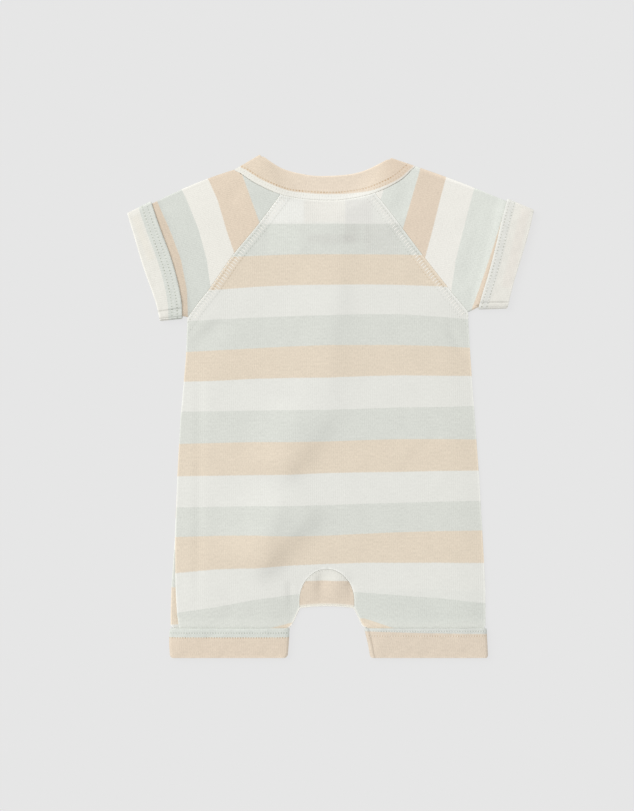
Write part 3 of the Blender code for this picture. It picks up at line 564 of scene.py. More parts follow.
CUFF_EDGE = {"left": curve((-166.8, 158.3), (-161.1, 139.4), (-153.8, 114.8), (-143.6, 85.6), (-139.8, 69.6)),
             "right": curve((166.8, 161.0), (162.8, 143.5), (155.6, 118.9), (150.1, 100.9), (144.9, 79.8))}
LEG_CUFFS = {
    "left": table(
        "y outer inner",
        (-182.0, -131.6, -33.4),
        (-186.0, -132.3, -33.7),
        (-196.0, -132.4, -34.3),
        (-204.4, -131.8, -35.0),
        (-206.5, -130.8, -36.6)),
    "right": table(
        "y outer inner",
        (-182.0, 128.0, 27.6),
        (-186.0, 128.3, 28.4),
        (-196.0, 128.8, 30.8),
        (-204.4, 129.2, 32.2),
        (-206.5, 128.6, 33.2))}

# Folds of the back as it lies: a run from its lower end to its upper, the width of its flank on each
# side and its height, less than nothing for a hollow.
CREASES = table(
    "x0 y0 x1 y1 left right height",
    (-70.0, -143.0, -6.0, -72.0, 30.0, 13.0, 4.4),
    (-65.0, -148.0, -40.0, -64.0, 26.0, 13.0, 3.0),
    (-54.0, -74.0, 4.0, 4.0, 30.0, 12.0, 2.8),
    (-40.0, -64.0, -27.0, 8.0, 26.0, 15.0, 2.3),
    (-6.0, -30.0, 8.0, 150.0, 25.0, 13.0, 1.9),
    (0.0, -175.0, 4.0, 165.0, 50.0, 60.0, 1.5),
    (3.5, 128.0, 3.5, 156.0, 15.0, 15.0, 0.8),
    (-109.5, -192.0, -108.0, 69.0, 3.5, 4.5, -1.0),
    (-9.0, -178.0, -7.0, -132.0, 4.0, 6.0, -2.8),
    (5.0, -178.0, 5.0, -134.0, 5.0, 5.0, 1.4),
    (19.0, -176.0, 15.0, -138.0, 3.0, 4.0, -2.0),
    (-30.5, -176.0, -34.5, -140.0, 2.2, 2.6, -1.8),
    (113.0, 36.0, 95.0, 72.0, 5.0, 4.0, -1.8),
    (-122.0, 45.0, -84.0, 72.0, 5.0, 8.0, -1.8),
    (57.0, -53.0, 94.0, -16.0, 4.0, 5.0, -0.3),
    (21.0, -169.0, 16.0, -131.0, 5.0, 6.0, -0.5),
    (-28.0, -171.0, -23.0, -133.0, 5.0, 6.0, -0.4),
    (-107.0, -200.0, -74.0, -159.0, 6.0, 8.0, -0.4),
    (106.0, -196.0, 73.0, -151.0, 6.0, 8.0, -0.4),
    (-84.0, 165.0, -70.0, 187.0, 5.0, 5.0, -0.9),
    (-103.0, 111.0, -140.0, 157.0, 6.0, 8.0, -0.4),
    (102.0, 140.0, 127.0, 165.0, 5.0, 6.0, -0.5),
    (55.0, 151.0, 68.0, 193.0, 8.0, 8.0, -1.3),
    (110.0, 95.0, 123.0, 157.0, 5.0, 7.0, -0.4))


def milestones(path):
    """How far along a path each of its points is."""
    return np.concatenate([[0.0], np.cumsum(np.linalg.norm(np.diff(path, axis=0), axis=1))])


def path_length(path):
    """The length of a path."""
    return milestones(path)[-1]


def along(path, places):
    """Points at distances along a path, and the unit vectors square to it there, on its left."""
    run, length = np.diff(path, axis=0), milestones(path)
    middles = (length[1:] + length[:-1]) / 2
    square = unit(pair(-run[:, 1], run[:, 0]))
    point, side = (pair(*(np.interp(places, knots, values[:, k]) for k in range(2)))
                   for knots, values in ((length, path), (middles, square)))
    return point, side


def shares(path, places):
    """Points at shares of a path's length."""
    return along(path, np.asarray(places) * path_length(path))[0]


def silhouette():
    """The garment's outline in plan, one closed path."""
    side = {name: pair(SIDES[column], SIDES["y"])[:-3]
            for name, column in (("left", "front_left"), ("right", "right"))}
    leg = {name: np.vstack([pair(sizes["outer"], sizes["y"]),
                            pair(sizes["inner"], sizes["y"])[::-1]])
           for name, sizes in LEG_CUFFS.items()}
    crotch = np.array([(GUSSET_X + half, CROTCH_Y) for half in (-GUSSET_HALF_WIDTH, GUSSET_HALF_WIDTH)])
    return np.vstack([BAND_TOP_BACK[::-3], CUFF_EDGE["left"][::4], side["left"], leg["left"], crotch,
                      leg["right"][::-1], side["right"][::-1], CUFF_EDGE["right"][::-4], BAND_TOP_BACK[-1:]])


SILHOUETTE = silhouette()
BAND_PLACES = np.linspace(0.0, 1.0, 23)
FRONT_BAND_MIDDLE = (shares(BAND_TOP_FRONT, BAND_PLACES) + shares(BAND_FOOT_FRONT, BAND_PLACES)) / 2


def waves(xy, *rows):
    """The sum of sines in plan, one for each row: its length in mm and its direction in radians."""
    x, y = xy[..., 0], xy[..., 1]
    return sum(np.sin((x * math.cos(turn) + y * math.sin(turn)) * 2 * math.pi / (length * MM) + length)
               for length, turn in rows)


def loft(xy):
    """Height of the back above its lowest place: a soft crown inside the outline, with the folds, and
    four crossed waves 0.04 mm high and 19 to 47 mm long that keep the cloth from lying dead flat."""
    crown = 1.0 - np.exp(-(nearest(xy, SILHOUETTE)[0] / EDGE_ROUND) ** EDGE_POWER)
    height = np.full(xy.shape[:-1], LOFT)
    for x0, y0, x1, y1, left, right, crease in zip(*CREASES.values()):
        run, offset = np.array([x1 - x0, y1 - y0]), xy - (x0, y0)
        share = (offset * run).sum(-1) / (run * run).sum()
        away = (run[0] * offset[..., 1] - run[1] * offset[..., 0]) / np.linalg.norm(run)
        fade = step(share, 0.0, CREASE_FADE) * step(1.0 - share, 0.0, CREASE_FADE)
        height += crease * fade * bell(away, np.where(away > 0, left, right))
    return crown * (height + 0.04 * MM * waves(xy, (19.0, 0.4), (27.0, 1.9), (34.0, 2.7), (47.0, 1.1)))


def back_underside(xy, below):
    """Underside of the back where the top of what lies under it is at the height below. In the front
    neck opening the back sinks to the surface, and over the front neckband it lies higher."""
    seated = step(np.linalg.norm((xy - NECK_CENTRE) / NECK_HALF, axis=-1), *NECK_SLOPE)
    over_band = 1.0 - step(nearest(xy, FRONT_BAND_MIDDLE)[0], *OVER_BAND)
    below = below + (BAND_WALL - WALL) * over_band
    return seated * (below + GAP) + blend(NECK_LOFT, 1.0, seated) * loft(xy)


def at_raglan(xy):
    """Distance of the back's points from the nearer raglan seam, and how far down that seam. The
    seams' lines are drawn on at both ends, so that their bands leave the cloth."""
    found = []
    for path in RAGLAN_BACK.values():
        begin, end = blend(path[1], path[0], DRAWN_ON + 1), blend(path[-2], path[-1], DRAWN_ON + 1)
        away, place = nearest(xy, np.vstack([begin, path, end]))
        found.append((away, place - DRAWN_ON * np.linalg.norm(path[1] - path[0])))
    return tuple(np.where(found[0][0] < found[1][0], a, b) for a, b in zip(*found))


def back_top(xy):
    """The back's upper face: a wall above its underside, and higher on the seam band."""
    rise = SEAM_BAND_RISE * (1.0 - step(at_raglan(xy)[0], SEAM_BAND - 1.2 * MM, SEAM_BAND + 1.0 * MM))
    return back_underside(xy, WALL + leg_rise(xy[..., 1])) + WALL + rise


# What lies under the thin cloth of the back and shows through it, and painted shade below the
# label and on the right leg: edges of rectangles in mm, and the share of red, green and blue
# that they let through.
BACK_PATCHES = (
    ((-51.0, -22.0, 150.0, 169.0), (1.085, 1.085, 1.092)),
    ((-21.5, 12.0, 150.5, 169.0), (1.040, 1.022, 1.013)),
    ((12.0, 34.0, 150.0, 169.0), (0.960, 0.950, 0.958)),
    ((-51.0, -25.0, 125.0, 149.0), (1.040, 1.045, 1.042)),
    # painted shade: the darker strip below the label, over the front neckband's edge
    ((-19.0, 20.0, 133.5, 140.5), (0.955, 0.945, 0.948)),
    ((11.5, 24.0, 134.5, 149.0), (0.972, 0.968, 0.969)),
    ((11.5, 33.0, 133.5, 149.5), (0.972, 0.968, 0.969)),
    ((27.5, 57.0, 125.0, 149.0), (0.981, 0.972, 0.975)),
    # painted shade: a darker patch on the right leg
    ((22.0, 126.0, -178.0, -151.0), (0.978, 0.985, 0.985)))


def show_through_and_painted_light(xy, patches):
    """Tint of soft-edged rectangles, each with its edges and its colour: thin cloth showing what
    lies under it, and painted light and shade.
    """
    tint = np.ones(xy.shape[:-1] + (3,))
    x, y = xy[..., 0] / MM, xy[..., 1] / MM
    for (left, right, low, high), colour in patches:
        inside = np.minimum(np.minimum(x - left, right - x), np.minimum(y - low, high - y))
        tint *= blend(1.0, np.array(colour), step(inside, -1.6, 1.6)[..., None])
    return tint


def back():
    """The back's shell: a left and a right half that share the middle line above the gusset."""
    near_seam = EDGE_STEPS + (2.9, 3.6, 4.3, 5.0, 5.7, 6.4, 7.0, 7.5, 8.0, 8.5, 9.2, 10.3)
    y = body_rows(at_x(BAND_FOOT_BACK, GUSSET_X) - SEAM_CLEAR)
    halves = []
    for side, column in (("left", "back_left"), ("right", "right")):
        inner = inner_edge(y, side)
        xy = panel_plan(side, y, inner, RAGLAN_BACK[side], column, BAND_FOOT_BACK, EDGE_STEPS, near_seam,
                        PANEL_COLUMNS["back"])
        open_inner = xy[::-1, 0][y[::-1] <= ARCH_TOP]
        away = nearest(xy, np.vstack([xy[0], xy[1:, -1], xy[-1, ::-1], open_inner]))[0]
        low = back_underside(xy, WALL + leg_rise(xy[..., 1]))
        outer, inner_skin = soften(lift(xy, back_top(xy)), lift(xy, low), away, WALL, *SEWN_EDGE)
        from_seam, down_seam = at_raglan(xy)
        flat = pair(xy[..., 0], stripe_run(xy))
        halves.append((outer, inner_skin, flat, pair(down_seam, from_seam),
                       show_through_and_painted_light(xy, BACK_PATCHES) * edge_light(away)))
    return cloth_mesh("back", *halves)


back_jersey = jersey("back",
                     holes=((2.6, STITCH_PITCH, 0.8, 0.55, 0.0), (8.1, STITCH_PITCH, 0.6, 0.4, 0.5)))
back_piece = place_piece(back(), back_jersey, "striped_jersey", "back_body")

# ------------------------------
# The gusset: a round-topped piece let in between the legs, folded through the crotch so that it
# has the same arch on the back and on the front. Its stripes run the other way up.
# ------------------------------
CROTCH_ARCH = 1.6 * MM         # how much lower the fold is at its ends
GUSSET_CHANGE = -143.5 * MM    # cream above, beige below
CROTCH_FOLD_HIGHLIGHT = np.array([1.3, 1.5, 1.68])      # painted highlight along the fold, which shows pale
FOLD_STEPS, FOLD_HOLLOW = 10, 0.6 * MM
FOLD_ROOM = 2.4 * MM           # the flat rows end this far above the fold
GUSSET_COLUMNS, GUSSET_ROWS = 49, 16      # across the arch, and even ones down the back
SEAM_SHADE = {"gusset": 0.15, "cuff": 0.16}      # how much darker the dip along a seam is


def layer(xy, low, wall, facing):
    """Outer and inner points of a stretch that lies flat; facing is 1 for the back, -1 for the front."""
    bottom, top = lift(xy, low), lift(xy, low + wall)
    return (top, bottom) if facing > 0 else (bottom, top)


def fold(edge, inward, low, high, wall, turn):
    """Outer and inner points round a folded edge, half an ellipse between two heights, from the top
    down for turn 1 and up for -1. Each place along the edge gives one section."""
    inward = lift(unit(inward), 0.0)[..., None, :]
    height = ((high - low) / 2)[..., None, None]
    reach = np.minimum(height, wall + FOLD_HOLLOW)
    centre = lift(edge, (low + high) / 2)[..., None, :] + inward * reach
    angle = np.linspace(math.pi / 2, -math.pi / 2, FOLD_STEPS + 1)[::turn, None]
    out, up = -inward * np.cos(angle), np.array([0.0, 0.0, 1.0]) * np.sin(angle)
    return centre + out * reach + up * height, centre + out * (reach - wall) + up * (height - wall)


def gusset():
    """Columns across the arch, each from its top on the back down to the fold and up the front."""
    angle = np.radians(np.linspace(-90.0, 90.0, GUSSET_COLUMNS))
    x, top = GUSSET_X + GUSSET_HALF_WIDTH * np.sin(angle), GUSSET_SPRING + GUSSET_RISE * np.cos(angle)
    foot = pair(x, CROTCH_Y - CROTCH_ARCH * np.sin(angle) ** 2)
    share = np.concatenate([[0.0, 0.004, 0.012, 0.025, 0.045, 0.07],
                            np.linspace(0.1, 1.0, GUSSET_ROWS)])[:, None]
    y = blend(top, foot[:, 1] + FOLD_ROOM, share)
    xy = pair(x, y)
    low = back_underside(xy, WALL)
    end_low = back_underside(foot, WALL)
    turn = [part.swapaxes(0, 1) for part in
            fold(foot, np.array([0.0, 1.0]), 0.0 * end_low, end_low + WALL, WALL, 1)]
    runs = [layer(xy, low, WALL, 1), turn, layer(xy[::-1], 0.0 * low, WALL, -1)]
    outer, inner = (np.concatenate(part) for part in zip(*runs))
    border = np.vstack([foot[:1], pair(x, top), foot[-1:]])
    away = nearest(((outer + inner) / 2)[..., :2], border)[0]
    outer, inner = soften(outer, inner, away, WALL, *SEWN_EDGE)
    down = np.cumsum(np.linalg.norm(np.diff(outer, axis=0, prepend=outer[:1]), axis=-1), axis=0)
    flat = pair(outer[..., 0], 2 * STRIPE + top - down - GUSSET_CHANGE)
    # Painted highlight along the crotch fold, and painted shade along the seam.
    at_fold, at_seam = bell(nearest(outer[..., :2], foot)[0], 1.3 * MM), bell(away, 0.6 * MM)
    tint = blend(1.0, CROTCH_FOLD_HIGHLIGHT, at_fold[..., None]) * (1.0 - SEAM_SHADE["gusset"] * at_seam[..., None])
    return cloth_mesh("gusset_piece", (outer, inner, flat, pair(outer[..., 0], away), tint))


gusset_jersey = jersey("gusset", beige="E0D2C0", cream="E6E5DD",
                       holes=((1.3, STITCH_PITCH, 0.5, 0.3, 0.0),))
gusset_piece = place_piece(gusset(), gusset_jersey, "gusset_jersey", "gusset")

# ------------------------------
# The raglan sleeves: each one piece of the jersey, folded along the shoulder and joined under the
# arm, from the neckband and the raglan seams into its cuff. Their stripes run down the arm's width.
# ------------------------------
SHOULDER_CROWN = {"left": 2.0 * MM, "right": 1.0 * MM}
CUFF_INSET = 2.2 * MM      # how far inside its cuff's folded edges a sleeve lies
NECK_CLEAR = (0.15 * MM, 0.1 * MM)      # from the neckband, at the shoulder and at the raglan seam
NECK_SHARE = {"back": 0.22, "front": 0.32}
SEAM_TUCK = 0.1 * MM       # how far the sleeve's edge dips under the seam
NECK_COLUMNS, SEAM_COLUMNS, SLEEVE_ROWS = 13, 43, 50      # at the neckband, at the seam; even rows
SLEEVE_STRIPES = {         # x of the changes of stripe, from the body outward, at heights y
    "left": table(
        "y first second third fourth",
        (193.5, -73.8, -103.8, -129.6, -154.3),
        (168.9, -64.9, -92.6, -117.7, -142.8),
        (144.3, -56.0, -85.5, -107.9, -131.7),
        (119.7, -47.2, -77.1, -101.3, -122.4),
        (95.1, -38.3, -68.5, -98.0, -117.7),
        (74.6, -30.9, -61.9, -95.9, -116.9)),
    "right": table(
        "y first second third fourth",
        (193.5, 73.4, 96.4, 121.7, 153.8),
        (168.9, 66.2, 89.7, 115.0, 145.6),
        (144.3, 59.0, 83.6, 108.6, 137.8),
        (119.7, 51.7, 77.0, 102.4, 129.8),
        (95.1, 44.5, 70.5, 98.9, 121.5),
        (74.6, 38.5, 65.1, 96.9, 114.0))}


def sleeve_run(xy, side):
    """How far out along the sleeve's cloth a place lies: one stripe for each change that it passes,
    evenly between them, and further in and out at the cloth's own measure."""
    sizes = SLEEVE_STRIPES[side]
    x, y = np.abs(xy[..., 0]), xy[..., 1]
    lines = [np.abs(at_height(sizes, name, y)) for name in ("first", "second", "third", "fourth")]
    lines = np.stack([lines[0] - 2 * STRIPE, *lines, lines[-1] + 2 * STRIPE])
    index, share = between(lines, x)
    marks = np.array([-1.0, 1.0, 2.0, 3.0, 4.0, 6.0]) * STRIPE
    return blend(marks[index - 1], marks[index], share)


def ring(back_line, front_line, back_low, front_low, wall):
    """Sections of a flattened tube: along the back from one folded edge to the other, then back along
    the front. The first column comes again last."""
    folds = []
    for end, next_in, turn in ((-1, -2, 1), (0, 1, -1)):
        inward = sum(line[:, next_in] - line[:, end] for line in (back_line, front_line))
        folds.append(fold(back_line[:, end], inward, front_low[:, end], back_low[:, end] + wall, wall, turn))
    runs = [layer(back_line[:, 1:-1], back_low[:, 1:-1], wall, 1), folds[0],
            layer(front_line[:, -2:0:-1], front_low[:, -2:0:-1], wall, -1), folds[1]]
    runs.append(tuple(skin[:, :1] for skin in runs[0]))
    return tuple(np.concatenate(part, axis=1) for part in zip(*runs))


def around(outer):
    """How far round the tube each column lies, measured on its middle section."""
    section = outer[len(outer) // 2]
    places = np.cumsum(np.linalg.norm(np.diff(section, axis=0, prepend=section[:1]), axis=-1))
    return np.broadcast_to(places, outer.shape[:2])


def from_ends(outer):
    """Distances from a grid's first and last rows."""
    return [np.linalg.norm(outer - outer[row], axis=-1) for row in (0, -1)]


def sleeve_end(foot, side, raglan, neck_places, seam_places):
    """The sleeve's inner end, from the shoulder along the neckband and down the raglan seam."""
    shoulder_x = foot[0 if side == "left" else -1, 0]
    x = blend(shoulder_x, raglan[0, 0], neck_places)
    neck = pair(x, at_x(foot, x))
    run = np.gradient(neck, axis=0) * np.sign(x[-1] - x[0])
    down = unit(pair(run[:, 1], -run[:, 0]))
    neck = neck + down * blend(*NECK_CLEAR, neck_places)[:, None]
    return np.vstack([neck, shares(raglan, seam_places)[1:]])


def sleeve(side):
    """A sleeve's shell: straight runs from its inner end to its cuff's fold and on to the cuff's end,
    bowed a little at the shoulder, and lifted where it goes into the cuff."""
    neck_places, seam_places = (np.linspace(0.0, 1.0, count) for count in (NECK_COLUMNS, SEAM_COLUMNS))
    station = np.concatenate([[0.0, 0.001, 0.003, 0.006, 0.01, 0.016, 0.024],
                              np.linspace(0.035, 1.0, SLEEVE_ROWS),
                              [1.1, 1.3, 1.6, 1.9, 1.95, 1.97]])[:, None]
    inner_share, outer_share = (np.clip(station - start, 0.0, 1.0)[..., None] for start in (0.0, 1.0))
    inset = CUFF_INSET / path_length(CUFF_FOLD[side])
    lines, rises, lengths = [], [], []
    for face, foot, raglan in (("back", BAND_FOOT_BACK, RAGLAN_BACK),
                               ("front", BAND_FOOT_FRONT, RAGLAN_FRONT)):
        start = sleeve_end(foot, side, raglan[side], neck_places, seam_places)
        turn = NECK_SHARE[face]
        places = np.concatenate([turn * neck_places, blend(turn, 1.0, seam_places[1:])])
        end, tip = (shares(path[side], blend(inset, 1.0 - inset, places)) for path in (CUFF_FOLD, CUFF_EDGE))
        length = np.linalg.norm(end - start, axis=1)
        crown = SHOULDER_CROWN[side] * 4 * (inner_share * (1 - inner_share))[..., 0] * (1 - places) ** 2
        xy = blend(blend(start, end, inner_share), tip, outer_share)
        lines.append(xy + pair(0.0, crown))
        rises.append((CUFF_WALL + GAP) * step(station, np.clip(1.0 - CUFF_RAMP / length, 0.0, 1.0), 1.0))
        lengths.append(station * length)
    low = back_underside(lines[0], WALL + rises[0])
    low = low - SEAM_TUCK * np.exp(-lengths[0] / (0.9 * MM)) * (1.0 - rises[0] / (CUFF_WALL + GAP))
    outer, inner = ring(lines[0], lines[1], low, rises[1], WALL)
    outer, inner = soften(outer, inner, np.minimum(*from_ends(outer)), WALL, *SEWN_EDGE)
    flat = pair(around(outer), sleeve_run(((outer + inner) / 2)[..., :2], side))
    tint = edge_light(nearest(outer[..., :2], SILHOUETTE)[0])
    return cloth_mesh(f"sleeve_piece_{side}", (outer, inner, flat, flat, tint))


for side, *colours in (("left", "D8DBD4", "E3D3BF", "EDEBE3"), ("right", "DEE1DA", "E1D1BE", "EDEBE4")):
    sleeve_piece = place_piece(sleeve(side), jersey(f"{side}_sleeve", *colours), "striped_jersey",
                               f"sleeve_{side}")

# ------------------------------
# The cover stitches of the raglan seams: cream polyester thread, looped across the seam's band in
# a close ladder, with short stitches over the join on the left, where the loops face out.
# ------------------------------
LADDER, OVER_JOIN = ((0.0, 2.3), (0.5, 7.2)), ((0.0, 0.0), (0.3, 1.5))   # ends: along, from the seam (mm)
STITCH_RINGS, STITCH_SIDES = 5, 6


def stitches(name, start, end, width, height, arch):
    """Joined stitches: each runs from its start to its end, give or take 0.1 mm, as rings of points
    round an arched line, thickest in the middle. A ring's radius goes as the square root of the sine
    along the stitch."""
    uneven = np.random.default_rng(len(start)).uniform(-0.1 * MM, 0.1 * MM, (2, len(start), 2))
    start, end = start + lift(uneven[0], 0.0), end + lift(uneven[1], 0.0)
    t = np.linspace(0.0, 1.0, STITCH_RINGS)[:, None, None]
    angle = np.linspace(0.0, 2 * math.pi, STITCH_SIDES, endpoint=False)[:, None]
    run = unit(end - start)
    side = lift(pair(-run[:, 1], run[:, 0]), 0.0)[:, None, None]
    middle = blend(start[:, None, None], end[:, None, None], t)
    swell = np.sqrt(np.sin(math.pi * blend(0.04, 0.96, t)))
    up = np.array([0.0, 0.0, 1.0])
    ring_points = swell * (side * np.cos(angle) * width / 2 + up * np.sin(angle) * height / 2)
    points = middle + up * (4 * t * (1 - t) * arch) + ring_points
    index, _, walls = ring_grid(STITCH_RINGS, STITCH_SIDES)
    return copies(name, points.reshape(len(points), -1, 3), walls, index[:1, ::-1], index[-1:])


def thread(name, colour):
    """Spun polyester sewing thread: IOR 1.55, slightly glossy, with twist lines across it."""
    material, tree = blank(name)
    place = add(tree, "TexCoord").outputs["Object"]
    twist = add(tree, "TexWave", {"Vector": place, "Scale": 300.0, "Distortion": 1.5},
                bands_direction="DIAGONAL").outputs["Fac"]
    shade = add(tree, "Math", (twist, 0.08, 0.94), operation="MULTIPLY_ADD")
    dyed = add(tree, "VectorMath", {"Vector": linear(colour)[:3], "Scale": shade}, operation="SCALE")
    bump = add(tree, "Bump", {"Strength": 0.3, "Distance": 0.1 * MM, "Height": twist})
    shader = add(tree, "BsdfPrincipled",
                 {"Base Color": dyed, "Roughness": 0.6, "IOR": 1.55, "Sheen Weight": 0.1, "Normal": bump})
    add(tree, "OutputMaterial", (shader,))
    return material


cream_thread = thread("spun_polyester_thread_cream", "F4F1E9")


def lay(path, places, away, surface, sink):
    """Points beside a path, at distances along it and to its left, sunk a little into a surface."""
    point, square = along(path, places)
    xy = point + square * away
    return lift(xy, surface(xy) - sink)


for name, side, ends, sink, size in (("ladder_left", "left", LADDER, 0.1, (0.8, 0.4, 0.05)),
                                     ("ladder_right", "right", LADDER, 0.1, (0.8, 0.4, 0.05)),
                                     ("join_stitches_left", "left", OVER_JOIN, 0.05, (1.0, 0.5, 0.1))):
    path = RAGLAN_BACK[side]
    places = np.arange(2.0 * MM, path_length(path) - 2.0 * MM, STITCH_PITCH * MM)
    rungs = [lay(path, places + on * MM, -SIGN[side] * away * MM, back_top, sink * MM) for on, away in ends]
    place_piece(stitches(f"raglan_{name}", *rungs, *(part * MM for part in size)), cream_thread,
                "striped_jersey")

# ------------------------------
# The edge between the legs: a close roll of cream overlock thread along the folded cloth, from one
# cuff up the inner leg, over the crotch and down to the other. It shows as a thin pale line.
# ------------------------------
leg_y = np.linspace(LEG_CUFFS["left"]["y"][0] + 0.5 * MM, CROTCH_Y - CROTCH_ARCH, 12)
across = np.sin(np.radians(np.linspace(-75.0, 75.0, 11)))
path = np.vstack([pair(inner_edge(leg_y, "left"), leg_y),
                  pair(GUSSET_X + GUSSET_HALF_WIDTH * across, CROTCH_Y - CROTCH_ARCH * across ** 2),
                  pair(inner_edge(leg_y, "right"), leg_y)[::-1]])
OVERLOCK_PITCH, OVERLOCK_LENGTH = 0.8 * MM, 2.2 * MM       # each stitch lies over the next ones
OVERLOCK_OUT, OVERLOCK_SINK = 0.35 * MM, 0.45 * MM         # beyond the cloth's edge, and below its top
OVERLOCK_SIZE = 1.2 * MM, 1.1 * MM, 0.0                    # width, height and arch
places = np.arange(0.0, path_length(path) - OVERLOCK_LENGTH, OVERLOCK_PITCH)
roll = [lay(path, places + on, -OVERLOCK_OUT, back_top, OVERLOCK_SINK) for on in (0.0, OVERLOCK_LENGTH)]
place_piece(stitches("inner_leg_overlock", *roll, *OVERLOCK_SIZE), cream_thread, "striped_jersey")

# ------------------------------
# The sleeve cuffs: the sleeve's end turned up on the outside and held by two rows of stitching, so
# the turned edge stands free round the sleeve as a soft thick fold.
# ------------------------------
CUFF_STATIONS = EDGE_STEPS + (3.0, 4.0)      # rows close to the free fold, in mm
CUFF_ROWS, CUFF_COLUMNS = 10, {"sleeve": 41, "leg": 51}      # even rows below those, even columns
CUFF_STAND, CUFF_LUMP = 0.1 * MM, 0.07 * MM      # room under a cuff, and the height of its waves
CUFF_SEAM_WIDTH, CUFF_SEAM_DEPTH = 0.6 * MM, 0.5 * MM
FREE_FOLD_HIGHLIGHT = -9.0, 300.0, -9.0, 1.8       # painted highlight along a free fold's edge: along it and from it, mm
RUNNING_SIZE, RUNNING_SINK = (0.5 * MM, 0.4 * MM, 0.1 * MM), 0.14 * MM      # width, height, arch; sunk
RUNNING_ENDS = 0.26, 0.74                # of a running stitch between two holes, in shares of the pitch


def cuff_underside(xy):
    """Underside of a cuff's back, on the cloth that goes into it. The rows of stitches pull the cloth
    into soft lumps, the sum of four waves."""
    lumps = CUFF_LUMP * (4.0 + waves(xy, (7.1, 0.3), (8.9, 2.2), (11.7, 1.3), (16.1, 2.9)))
    return back_underside(xy, CUFF_WALL + GAP + WALL) + WALL + CUFF_STAND + lumps


def cuff_top(xy):
    """The upper face of a cuff."""
    return cuff_underside(xy) + CUFF_WALL


def cuff(name, lines, run, seams=(), patches=()):
    """A cuff's shell: a flattened ring round the cloth that goes into it, one section for each line.
    Its free fold, the first line, comes down onto that cloth. run gives the place on the striped
    cloth of points at distances along and from the fold. Along its own seams it dips."""
    low = cuff_underside(lines)
    outer, inner = ring(lines, lines, low, np.zeros_like(low), CUFF_WALL)
    dip = np.zeros(outer.shape[:2])
    for seam in seams:
        dip += bell(nearest(outer[..., :2], seam)[0], CUFF_SEAM_WIDTH)
    outer[..., 2] -= CUFF_SEAM_DEPTH * dip * (outer[..., 2] > inner[..., 2])
    from_fold, from_end = from_ends(outer)
    seat = np.where(from_fold < from_end, 0.1, 0.5)
    outer, inner = soften(outer, inner, np.minimum(from_fold, from_end), CUFF_WALL, seat)
    xy = ((outer + inner) / 2)[..., :2]
    away, place = nearest(xy, lines[0])
    # Painted highlight along the free fold, and any turned cloth showing through under the cuff.
    tint = show_through_and_painted_light(pair(place, away), ((FREE_FOLD_HIGHLIGHT, (1.03, 1.03, 1.03)), *patches))
    tint = tint * edge_light(np.minimum(from_end, nearest(xy, SILHOUETTE)[0]))
    tint = tint * (1.0 - SEAM_SHADE["cuff"] * dip[..., None])
    return cloth_mesh(name, (outer, inner, pair(around(outer), run(place, away)), pair(place, away), tint))


def row_stitches(name, path, away, surface, pitch=STITCH_PITCH * MM, ends=3.0 * MM, offset=0.0):
    """A row of running stitches beside a path, each from one needle hole to the next. The holes lie
    half a pitch on from each whole number of pitches, less the offset."""
    number = np.arange(math.ceil(ends / pitch), (path_length(path) - ends) / pitch - 1.0)
    holes = (number + 0.5 - offset) * pitch
    tips = (lay(path, holes + share * pitch, away, surface, RUNNING_SINK) for share in RUNNING_ENDS)
    return stitches(name, *tips, *RUNNING_SIZE)


def sew_cuff(kind, side, piece, fold_line, flat, rows, to_rows, pitch, radius, depth, **colours):
    """Gives a cuff its jersey and its place, and sews its two rows of stitches, the second half a
    pitch on from the first. to_rows is the side of its free fold on which they lie."""
    slot = f"{kind}_cuff_jersey"
    holes = [(away, pitch, radius, depth, row / 2) for row, away in enumerate(rows)]
    place_piece(piece, jersey(f"{side}_{kind}_cuff", holes=holes, **colours), slot, f"{kind}_cuff_{side}")
    for row, away in enumerate(rows):
        row_piece = row_stitches(f"{kind}_cuff_stitches_{side}_{row + 1}", fold_line, to_rows * away * MM,
                                 cuff_top, pitch * MM, offset=row / 2)
        place_piece(row_piece, cream_thread, slot)


SLEEVE_CUFF_ROWS = {"left": (4.0, 8.3), "right": (2.5, 6.6)}         # mm from the free fold
SLEEVE_CUFF_CHANGE = {"left": 11.6 * MM, "right": 7.8 * MM}         # sage inside, cream outside
SLEEVE_CUFF_COLOURS = {"left": {"sage": "D9DCD5", "cream": "E9E7DF"},
                       "right": {"sage": "E3E3DD", "cream": "EAE8E0"}}
SLEEVE_CUFF_SEAMS = {"left": np.array([92.0, 98.5]) * MM, "right": np.array([88.5]) * MM}   # along the fold
# Faint beige of the turned cloth under the cuffs: edges along and from the fold, and colour.
SLEEVE_CUFF_PATCHES = {"left": (((8.0, 46.0, 13.0, 19.0), (1.0, 0.985, 0.965)),),
                       "right": (((4.0, 70.0, 13.0, 21.0), (1.0, 0.975, 0.972)),)}
for side in ("left", "right"):
    fold_line, edge_line = CUFF_FOLD[side], CUFF_EDGE[side]
    near_seams = SLEEVE_CUFF_SEAMS[side][:, None] + np.array([-1.4, -0.8, -0.4, 0.0, 0.4, 0.8, 1.4]) * MM
    even = np.linspace(0.0, 1.0, CUFF_COLUMNS["sleeve"])
    places = np.unique(np.append(even, near_seams / path_length(fold_line)))
    fold_points, edge_points = shares(fold_line, places), shares(edge_line, places)
    width = np.linalg.norm(edge_points - fold_points, axis=1)
    down = fine(width, CUFF_STATIONS, EDGE_STEPS, CUFF_ROWS) / width[:, None]
    lines = blend(fold_points[None], edge_points[None], down.T[..., None])
    ends = [shares(line, SLEEVE_CUFF_SEAMS[side] / path_length(fold_line)) for line in (fold_line, edge_line)]
    piece = cuff(f"turned_cuff_sleeve_{side}", lines, lambda place, away: SLEEVE_CUFF_CHANGE[side] - away,
                 np.stack(ends, axis=1), SLEEVE_CUFF_PATCHES[side])
    sew_cuff("sleeve", side, piece, lines[0], (0.215, 0.024), SLEEVE_CUFF_ROWS[side], SIGN[side],
             pitch=2.65, radius=0.75, depth=0.9, **SLEEVE_CUFF_COLOURS[side])

